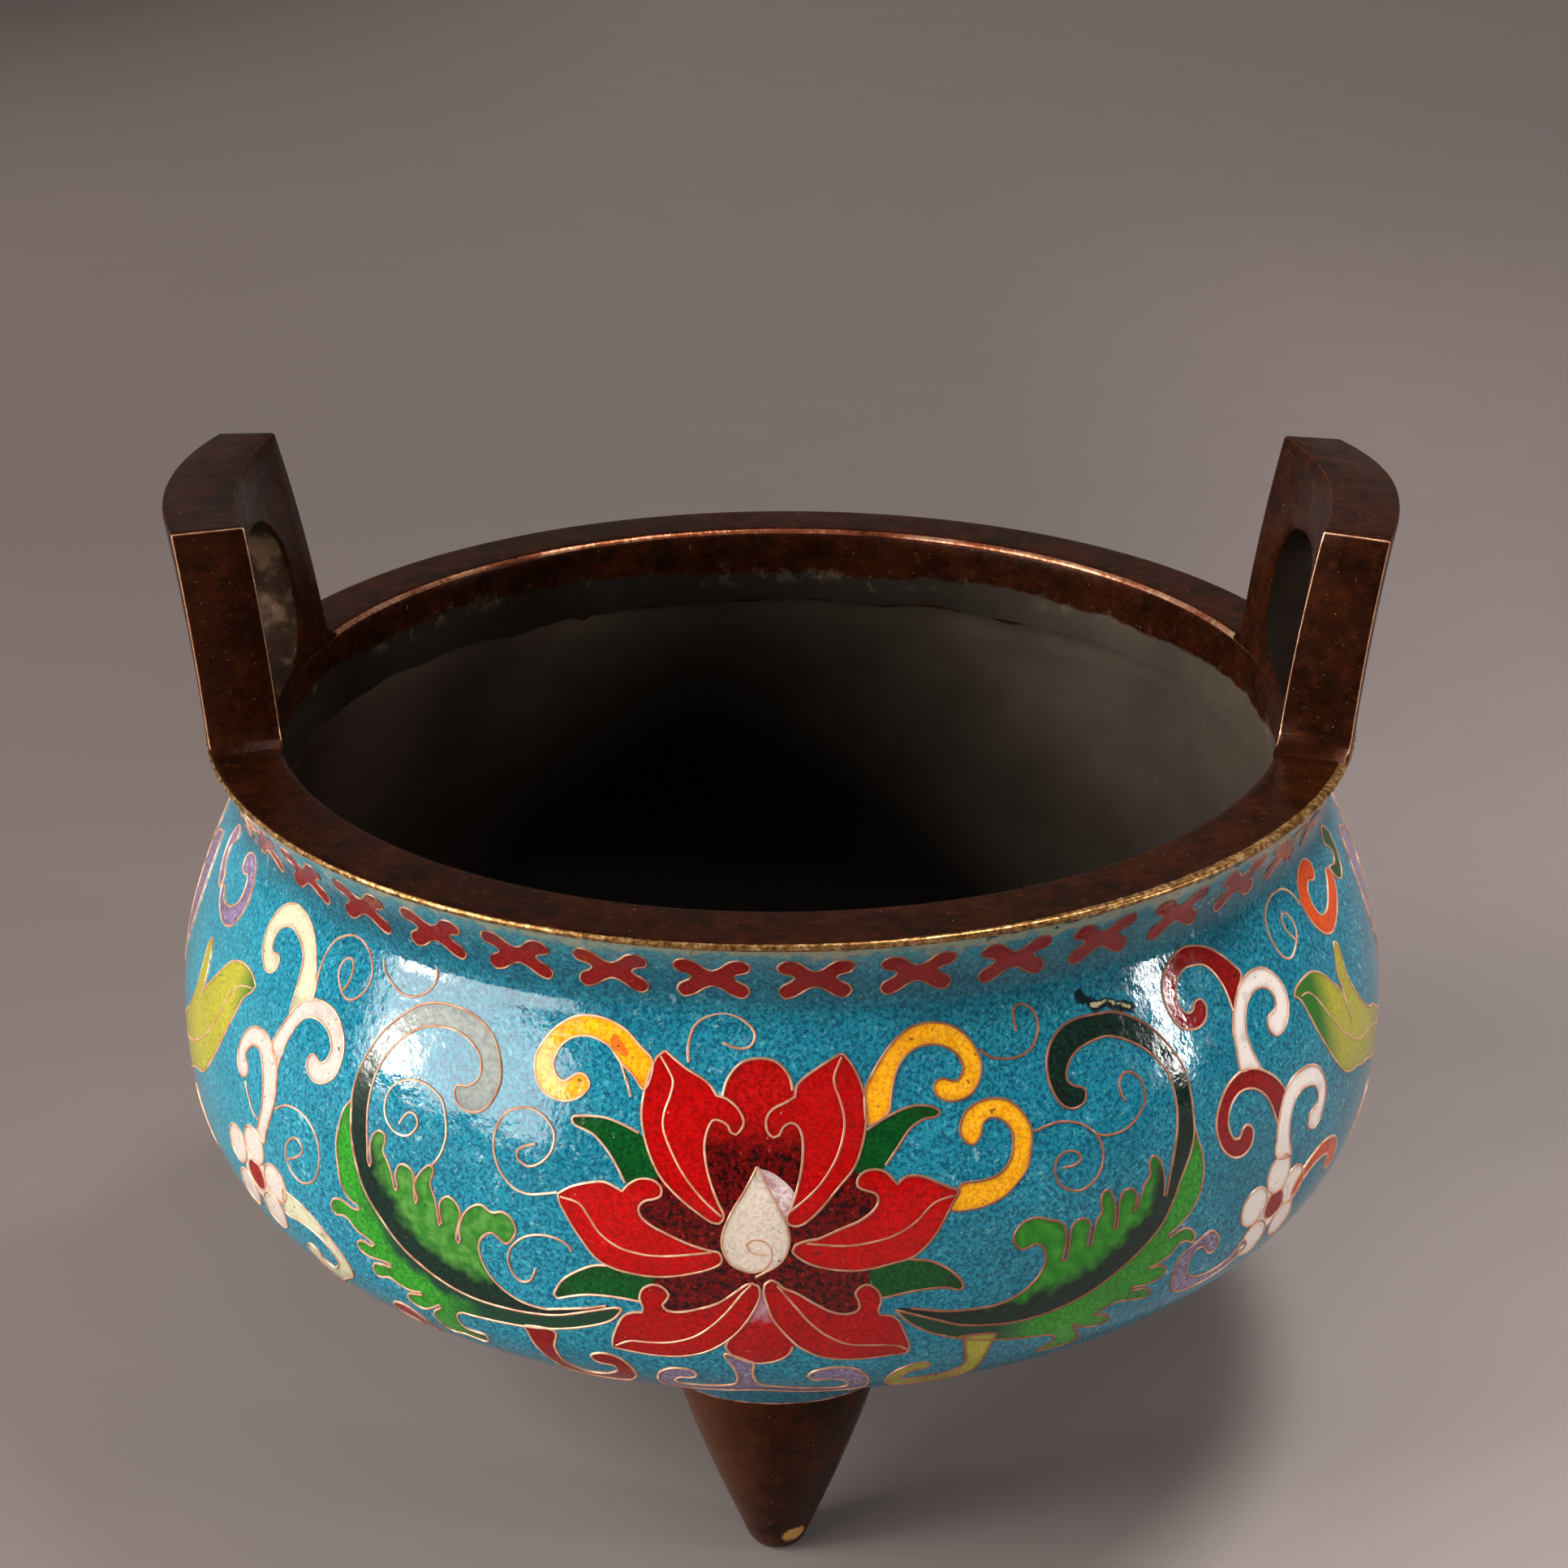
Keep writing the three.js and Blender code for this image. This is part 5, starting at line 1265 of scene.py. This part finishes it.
def rim_ring():
    """The ring with its crowned top, worn gilt edge and the collar that hangs in the mouth."""
    ring = turned_piece("bronze_ring", ring_outline(), steps=256)
    gilt, wear_and_highlight = [], []
    # Gilding is left along the outer edge, further in on the right. The bore's rounded edge has a
    # painted highlight at the back, and the collar hangs down unevenly.
    for spot in ring.data.vertices:
        radius = math.hypot(spot.co.x, spot.co.y) / MM
        drop = RIM_TOP - spot.co.z / MM
        turn = math.atan2(spot.co.y, spot.co.x)
        flaky = 0.6 * max(0.0, math.cos(turn - math.radians(FLAKY_ANGLE))) ** 4
        edge = (radius - RIM_RADIUS + GILT_WIDTH + flaky) / 0.4
        gilt.append(min(max(edge, 0), 1) if drop < 2 else 0)
        wander = noise.noise(Vector((math.cos(turn) * 7, math.sin(turn) * 7, 2)))
        painted_highlight_edge = (RIM_BORE + 0.08 < radius < RIM_BORE + INNER_ROUND * 0.6
                  and drop < INNER_ROUND * 0.9 and turn > 0)
        wear_and_highlight.append(0.6 + 0.18 * abs(math.cos(turn)) + 0.22 * wander if painted_highlight_edge else 0)
        if drop > COLLAR_DROP - 0.8:
            spot.co.z += 0.7 * wander * MM
    keep(ring, "gilt", gilt)
    keep(ring, "wear_and_highlight", wear_and_highlight)
    smooth(ring, 50)
    return finished(ring, RIM_BRONZE, "bronze", "rim_ring")


# Handles and feet

def arch_height(shape, across):
    """Height of a handle's top, across being 0 at its front end and 1 at its back end."""
    return shape["height"] + shape["rise"] * (1 - (2 * across - 1) ** 2)


def hole_half_height(shape):
    return (shape["hole_top"] - shape["sill"]) / 2


def handle_outlines(shape):
    """The flat outlines of a handle and of its hole, as (angle towards the front, height)."""
    whole = [(-shape["back"], HANDLE_BOTTOM), (shape["front"], HANDLE_BOTTOM)]
    for step in range(ARCH_STEPS + 1):
        across = step / ARCH_STEPS
        whole.append((shape["front"] - (shape["front"] + shape["back"]) * across,
                      arch_height(shape, across)))
    hole = []
    for step in range(HOLE_STEPS):
        turn = 2 * math.pi * step / HOLE_STEPS
        out, up = [math.copysign(abs(value) ** (2 / shape["squareness"]), value)
                   for value in (math.cos(turn), math.sin(turn))]
        hole.append((shape["hole"] * out, shape["sill"] + hole_half_height(shape) * (1 + up)))
    return whole, hole


def handle_slab(name, shape):
    """A handle before it is bent: a slab with a hole, as thick as the ring's face is wide.

    Angles stand for lengths. The slab is cut into strips, so that it can bend.
    """
    curve = bpy.data.curves.new(name, "CURVE")
    curve.dimensions = "2D"
    curve.fill_mode = "BOTH"
    curve.extrude = FACE_WIDTH / 2
    for points in handle_outlines(shape):
        add_spline(curve, [(angle, height, 0) for angle, height in points], True)
    slab = in_scene(name, curve)
    pick(slab)
    bpy.ops.object.convert(target="MESH")

    def cut_into_strips():
        cuts = [((angle, 0, 0), (1, 0, 0)) for angle in HANDLE_CUT_ANGLES]
        cuts += [((0, height, 0), (0, 1, 0)) for height in HANDLE_CUT_HEIGHTS]
        for place, way in cuts:
            bpy.ops.mesh.select_all(action="SELECT")
            bpy.ops.mesh.bisect(plane_co=place, plane_no=way)

    in_edit_mode(
        slab,
        lambda: bpy.ops.mesh.remove_doubles(threshold=0.0001),
        face_outwards,
        lambda: bpy.ops.mesh.dissolve_limited(angle_limit=math.radians(1)),
        cut_into_strips,
    )
    edges = slab.modifiers.new("worn edges", "BEVEL")
    edges.width = EDGE_WIDTH
    edges.segments = 2
    edges.limit_method = "ANGLE"
    edges.angle_limit = math.radians(50)
    edges.use_clamp_overlap = False
    pick(slab)
    bpy.ops.object.modifier_apply(modifier=edges.name)
    return slab


def edge_wear_and_highlight(shape, angle, height, across, from_face):
    """How worn a place of the slab is, with a painted highlight on its edges: most on the front
    end's edges, not at all off an edge.
    """
    close = EDGE_WIDTH * 0.6
    at_front = shape["front"] - angle
    at_top = abs(arch_height(shape, across) - height)
    at_end = min(at_front, angle + shape["back"], at_top)
    on_edge = from_face < close and at_end < close or at_front < close and at_top < close
    if not on_edge or height <= 0.5:
        return 0.0
    return 1.0 if at_front < close else 0.55


def in_hole(shape, angle, height):
    """1 on the wall of a handle's hole, 0 elsewhere."""
    up = (height - shape["sill"]) / hole_half_height(shape) - 1
    power = shape["squareness"]
    return float(abs(abs(angle / shape["hole"]) ** power + abs(up) ** power - 1) < 0.02)


def bent_place(side, shape, angle, height, across, share):
    """Where a place of the slab goes on the flared ring, share being 0 inside and 1 outside."""
    if abs(angle) > shape["hole"]:
        fillet = max(0.0, FILLET_HEIGHT - max(height, 0)) / FILLET_HEIGHT
        spread = FILLET_SPREAD * fillet ** 2.2
        angle += math.copysign(spread * (abs(angle) - shape["hole"]) / 5, angle)
    climb = height / shape["height"]
    lean = climb - LEAN_BOW * climb * (1 - climb)
    inner, outer = [
        radius + (front + (back - front) * across) * lean
        for radius, (front, back) in ((RIM_BORE, shape["inner_lean"]),
                                      (RIM_RADIUS - 0.1, shape["outer_lean"]))]
    # The bow is greatest at the top, two thirds of the way to the back
    outer += OUTER_BOW * climb * 6.75 * across ** 2 * (1 - across)
    radius = inner + (outer - inner) * share
    drop = (shape["slope"] + BACK_SLOPE * across) * share * climb
    turn = math.radians(-angle if side == "right" else 180 + angle)
    return Vector((radius * math.cos(turn), radius * math.sin(turn), RIM_TOP + height - drop)) * MM


def handle(side, name, node):
    """A slab with a hole, rounded along its edges, then bent onto the flared ring wall."""
    shape = HANDLES[side]
    piece = handle_slab(name, shape)
    wear_and_highlight, dust_and_light = [], []
    for spot in piece.data.vertices:
        angle, height, depth = spot.co
        across = (shape["front"] - angle) / (shape["front"] + shape["back"])
        share = depth / FACE_WIDTH + 0.5
        wear_and_highlight.append(edge_wear_and_highlight(shape, angle, height, across, min(share, 1 - share) * FACE_WIDTH))
        dust_and_light.append(in_hole(shape, angle, height))
        spot.co = bent_place(side, shape, angle, height, across, share)
    keep(piece, "wear_and_highlight", wear_and_highlight)
    keep(piece, "dust_and_light", dust_and_light)
    in_edit_mode(piece, face_outwards)
    smooth(piece, 38)
    return finished(piece, BRONZE, "bronze", node)


def under_height(radius):
    """Height of the bowl's underside at a radius."""
    for (first, low), (second, high) in zip(PROFILE[BELLY_INDEX:], PROFILE[BELLY_INDEX + 1:]):
        if second <= radius <= first:
            return low + (high - low) * (first - radius) / max(first - second, 1e-6)
    return PROFILE[-1][1]


def foot_radius(height):
    """The cone's radius at a height above the floor."""
    share = (height - FOOT_TIP_HEIGHT) / (FOOT_TOP_HEIGHT - FOOT_TIP_HEIGHT)
    return (FOOT_TIP_RADIUS + (FOOT_TOP_RADIUS - FOOT_TIP_RADIUS) * share
            + FOOT_BULGE * math.sin(min(max(share, 0), 1) * math.pi))


def foot_middle(angle):
    turn = math.radians(angle)
    return Vector((math.cos(turn), math.sin(turn), 0)) * FOOT_PLACE_RADIUS


def foot(angle, name, node):
    """A cone with a rounded tip, its top fitted to the bowl's underside."""
    outline = [(0, 0), (1.4, 0.02), (2.1, 0.14), (2.6, 0.5)]
    for step in range(13):
        height = FOOT_TIP_HEIGHT + (FOOT_TOP_HEIGHT - FOOT_TIP_HEIGHT) * step / 12
        outline.append((foot_radius(height), height))
    outline += [(radius, FOOT_END_HEIGHT) for radius in (FOOT_TOP_RADIUS - 1.5, 4, 0)]
    piece = turned_piece(name, outline, FOOT_STEPS, closed=False)
    centre = foot_middle(angle)
    for spot in piece.data.vertices:
        place = spot.co / MM + centre
        top = under_height(math.hypot(place.x, place.y)) + 0.25
        height = place.z
        share = height / FOOT_END_HEIGHT
        if share >= FOOT_FIT_SHARE:
            rise = (share - FOOT_FIT_SHARE) / (1 - FOOT_FIT_SHARE)
            height += (top - FOOT_END_HEIGHT) * rise ** 2
        spot.co = Vector((place.x, place.y, min(height, top))) * MM
    in_edit_mode(piece, face_outwards)
    smooth(piece)
    return finished(piece, FOOT_BRONZE, "bronze", node)


def seam_slice(centre, turn):
    """The roll's section on one side of a foot, and the middle of the wire there, in metres."""
    way = Vector((math.cos(turn), math.sin(turn), 0))

    def wall(radius):
        spot = centre + way * radius
        return under_height(math.hypot(spot.x, spot.y))

    def place(radius, height):
        return (centre + way * radius + Vector((0, 0, height))) * MM

    low = wall(FOOT_TOP_RADIUS) - FOOT_ROLL_DROP + 0.12 * noise.noise(way * 3)
    hug = foot_radius(low)
    section = [place(hug + out, height) for out, height in (
        (-0.4, low), (0.3, low - 0.12), (0.6, low + 0.2), (0.85, low + 1.1), (1.3, low + 2),
        (2.4, wall(hug + 2.4) + 0.12), (-0.4, wall(hug - 0.4) + 0.2))]
    return section, place(hug + 0.2, low)


def foot_seam(angle, name):
    """The roll of enamel where a foot meets the bowl, and the gilt wire under it."""
    centre = foot_middle(angle)
    places, line = [], []
    for step in range(FOOT_STEPS):
        section, middle = seam_slice(centre, 2 * math.pi * step / FOOT_STEPS)
        places += section
        line.append(middle)
    side = len(section)
    faces = []
    for step in range(FOOT_STEPS):
        here, there = step * side, (step + 1) % FOOT_STEPS * side
        for spot in range(side):
            after = (spot + 1) % side
            faces.append([here + spot, here + after, there + after, there + spot])
    roll = mesh_piece(f"{name}_roll", places, faces)
    in_edit_mode(roll, face_outwards)
    smooth(roll, 60)
    finished(roll, TURQUOISE, "turquoise_enamel")
    seam = wire_piece(f"{name}_wire", [(line, True)], FOOT_WIRE_RADIUS, 2)
    finished(seam, OLD_WIRE, "copper")


# The pattern's pieces

def moved(points, shift):
    return [(across + shift, climb) for across, climb in points]


def cell(name, enamel_name, outlines, lift, nodes=(), shift=0.0, wire=None):
    piece = enamel_piece(name, [moved(outline, shift) for outline in outlines], lift,
                         moved(wire, shift) if wire else None)
    return finished(piece, *ENAMELS[enamel_name], *nodes)


def wires(name, lines, shift=0.0, radius=WIRE_RADIUS, metal=WIRE):
    """Wires soldered to the wall along lines, each (points, closed)."""
    on_wall = [([wall_point(*point, -WIRE_SINK) for point in flowing(moved(points, shift), closed)],
                closed) for points, closed in lines]
    return finished(wire_piece(name, on_wall, radius), metal, "copper")


def lotus(side, shift):
    node = f"flower_{side}_"
    for part, tone, outlines, lift, nodes in (
            ("heart", "heart", [HEART], 0.02, [node + "top_petal"]),
            ("leaves", "green", LEAVES, 0.03, []),
            ("bottom", "bottom", [BOTTOM_PETAL], 0.04, [node + "bottom_petal"]),
            ("pearl", "pearl", [PEARL], 0.07, [node + "pearl"]),
            ("pearl_shade", "pearl_shade", [PEARL_SHADE], 0.04, [])):
        cell(f"{side}_lotus_{part}", tone, outlines, lift, nodes, shift)
    for petal, outline in PETALS.items():
        tone = "low_red" if petal.startswith("lower") else "red"
        cell(f"{side}_lotus_{petal}", tone, [outline], 0.06, [node + petal], shift)
    closed = [(outline, True) for outline in PETALS.values()]
    opened = PETAL_RIBS + LEAF_WIRES + PEARL_WIRES + [HEART_ARC, BOTTOM_ARC]
    wires(f"{side}_lotus_wires", closed + [(line, False) for line in opened], shift)


def scrolls(side, shift):
    for half, (back, lobes, leaf, leaf_start) in SCROLLS.items():
        cell(f"{side}_scroll_{half}", "scroll", [back + lobes[::-1]], 0.03,
             [f"leaf_scroll_{side}_{half}"], shift, back)
        cell(f"{side}_scroll_leaf_{half}", "scroll_leaf", [leaf + back[leaf_start:-1][::-1]], 0.02,
             [], shift, back)
        wires(f"{side}_scroll_wires_{half}",
              [(back, False), ([back[0]] + lobes, False), (leaf, False)], shift)


def yellow_hooks(side, shift):
    cell(f"{side}_yellow_hooks", "yellow", YELLOW_HOOKS, 0.04, [], shift)
    wires(f"{side}_hook_wires", [(outline, True) for outline in YELLOW_HOOKS]
          + [(HOOK_ROOT_WIRE, False)], shift)
    wires(f"{side}_spirals", [(line, False) for line in SPIRALS], shift)


def round_outline(middle, radius, corners=10):
    turns = [2 * math.pi * step / corners for step in range(corners)]
    return [(middle[0] + radius * math.cos(turn), middle[1] + radius * math.sin(turn))
            for turn in turns]


def sprays(side, shift):
    """The hooks and the two blossoms of the sprays."""
    for name, tone, outline in HOOKS:
        cell(f"{side}_{name}", tone, [outline], 0.035, [], shift)
    wires(f"{side}_spray_wires", [(outline, True) for _, _, outline in HOOKS], shift)
    lines = []
    for half, middle, heart_radius, petals in BLOSSOMS:
        name = f"{side}_blossom_{half}"
        rounds = [round_outline(petal, BLOSSOM_PETAL_RADIUS) for petal in petals]
        heart = round_outline(middle, heart_radius)
        cell(f"{name}_petals", "white", rounds, 0.03, [f"blossom_{side}_{half}"], shift)
        cell(f"{name}_middle", "white", [round_outline(middle, BLOSSOM_MIDDLE_RADIUS)], 0.028, [],
             shift)
        cell(f"{name}_heart", "dark_red", [heart], 0.05, [], shift)
        lines += [(outline, True) for outline in rounds + [heart]]
    wires(f"{side}_blossom_wires", lines, shift)


def side_flower(side, middle, left_shift, right_shift):
    """A flower under a handle. Its two side petals are the seen ones, one turned half round."""
    node = f"flower_{side}_"
    lines = []
    for part, outline in WIDE_FLOWER_MIDDLE.items():
        cell(f"{side}_flower_{part}", "pearl" if part == "pearl" else "lime", [outline], 0.05,
             [node + part], middle)
        lines.append((moved(outline, middle), True))
    for part, outline in WIDE_FLOWER_SIDES.items():
        for half, sign in (("right", 1), ("left", -1)):
            shape = [(sign * across, climb) for across, climb in outline]
            tone = "side_lavender" if part == "upper_petal" else "lime"
            cell(f"{side}_flower_{part}_{half}", tone, [shape], 0.05, [f"{node}{part}_{half}"],
                 middle)
            lines.append((moved(shape, middle), True))
    # The photo shows the left petal of the right flower and the right petal of the left one
    for half, seen, rib, shift in (("left", "right", SIDE_RIBS[0], left_shift),
                                   ("right", "left", SIDE_RIBS[1], right_shift)):
        outline = SIDE_PETALS[seen]
        cell(f"{side}_flower_side_petal_{half}", "lime", [outline], 0.06,
             [f"{node}side_petal_{half}"], shift)
        lines += [(moved(outline, shift), True), (moved(rib, shift), False)]
    wires(f"{side}_flower_wires", lines)


def florets():
    outlines = []
    for index in range(FLORET_COUNT):
        middle = FIRST_FLORET + 2 * HALF_ROUND * index / FLORET_COUNT
        outlines.append([(middle + across * NARROWING, FLORET_CLIMB + climb)
                         for across, climb in mirrored(FLORET)])
    cell("neck_florets", "floret", outlines, 0.03)
    wires("neck_floret_wires", [(line, True) for line in outlines], 0.0, FLORET_WIRE_RADIUS,
          OLD_WIRE)


enamel_skin()
copper_body()
sooty_shaded_lining()
rim_ring()
for side in ("right", "left"):
    handle(side, f"bronze_handle_{side}", f"handle_{side}")
for place, angle in (("front", -90.9), ("rear_right", 30), ("rear_left", 150)):
    foot(angle, f"bronze_foot_{place}", f"foot_{place}")
    foot_seam(angle, f"foot_seam_{place}")
for side, shift in (("front", 0.0), ("back", HALF_ROUND)):
    lotus(side, shift)
    scrolls(side, shift)
    yellow_hooks(side, shift)
    sprays(side, shift)
side_flower("right", HALF_ROUND / 2, 0.0, HALF_ROUND)
side_flower("left", -HALF_ROUND / 2, -HALF_ROUND, 0.0)
florets()


# The studio

LIGHT_AIM = (-0.03, -0.05, 0.06)
WARM_WHITE = (1, 0.98, 0.96)
PLAIN_WHITE = (1, 0.98, 0.97)
# Each lamp's name, place, aim, width, height, power, colour and spread in degrees
LAMPS = (
    ("window_left", (-0.73, -0.44, 0.225), LIGHT_AIM, 0.64, 0.27, 5.4, WARM_WHITE, 180),
    ("lamp_in_window", (-0.88, -0.31, 0.166), LIGHT_AIM, 0.13, 0.1, 2.4, WARM_WHITE, 180),
    ("key_left", (-0.74, -0.24, 0.63), (0, 0, 0.03), 0.6, 0.45, 7.8, (1, 0.97, 0.95), 180),
    ("top_right", (0.2, 0.02, 0.6), (0.13, -0.06, 0), 0.16, 0.16, 0.3, PLAIN_WHITE, 48),
    ("strip_right", (0.87, -0.27, 0.25), (0.03, -0.04, 0.06), 0.06, 0.3, 2.4, WARM_WHITE, 180),
    ("front_fill", (0.36, -1.05, 0.42), (0, 0, 0.05), 0.7, 0.5, 2.2, PLAIN_WHITE, 180),
)


def area_light(name, place, aim, width, height, power, colour, spread):
    light = bpy.data.lights.new(name, "AREA")
    light.shape = "RECTANGLE"
    light.size = width
    light.size_y = height
    light.energy = power
    light.color = colour
    light.spread = math.radians(spread)
    lamp = in_scene(name, light)
    lamp.location = place
    lamp.rotation_euler = (Vector(aim) - Vector(place)).to_track_quat("-Z", "Y").to_euler()
    # The soft front lamp isn't seen in the enamel
    lamp.visible_glossy = name != "front_fill"


def floor():
    bpy.ops.mesh.primitive_plane_add(size=9, location=(0, 2.2, -0.0001))
    paper = bpy.context.active_object
    paper.name = "studio_floor"
    paper.data.materials.append(studio_paper())


def backdrop():
    """Pale light all round. The camera, metal and glass see a darker grey instead."""
    world = bpy.data.worlds.new("studio_air")
    bpy.context.scene.world = world
    world.use_nodes = True
    nodes = world.node_tree.nodes
    links = world.node_tree.links
    light = nodes["Background"]
    light.inputs["Color"].default_value = srgb(196, 190, 188)
    light.inputs["Strength"].default_value = 0.44
    seen = nodes.new("ShaderNodeBackground")
    seen.inputs["Color"].default_value = srgb(104, 96, 93)
    path = nodes.new("ShaderNodeLightPath")
    ray = path.outputs["Is Camera Ray"]
    for other in ("Is Glossy Ray", "Is Transmission Ray"):
        either = nodes.new("ShaderNodeMath")
        either.operation = "MAXIMUM"
        links.new(ray, either.inputs[0])
        links.new(path.outputs[other], either.inputs[1])
        ray = either.outputs[0]
    choose = nodes.new("ShaderNodeMixShader")
    for value, socket in zip((ray, light.outputs[0], seen.outputs[0]), choose.inputs):
        links.new(value, socket)
    links.new(choose.outputs[0], nodes["World Output"].inputs["Surface"])


def camera():
    """The photograph's own camera, tilted down and rolled a little."""
    data = bpy.data.cameras.new("camera")
    data.sensor_width = 36
    data.lens = 65.22
    data.clip_start = 0.02
    lens = in_scene("camera", data)
    lens.location = (0.000311, -0.279603, 0.189515)
    aim = Euler((math.radians(66.236), 0, 0)).to_matrix()
    roll = Euler((0, 0, math.radians(-0.208))).to_matrix()
    lens.rotation_euler = (aim @ roll).to_euler()
    bpy.context.scene.camera = lens


floor()
for lamp in LAMPS:
    area_light(*lamp)
backdrop()
camera()
bpy.context.scene.view_settings.view_transform = "Standard"
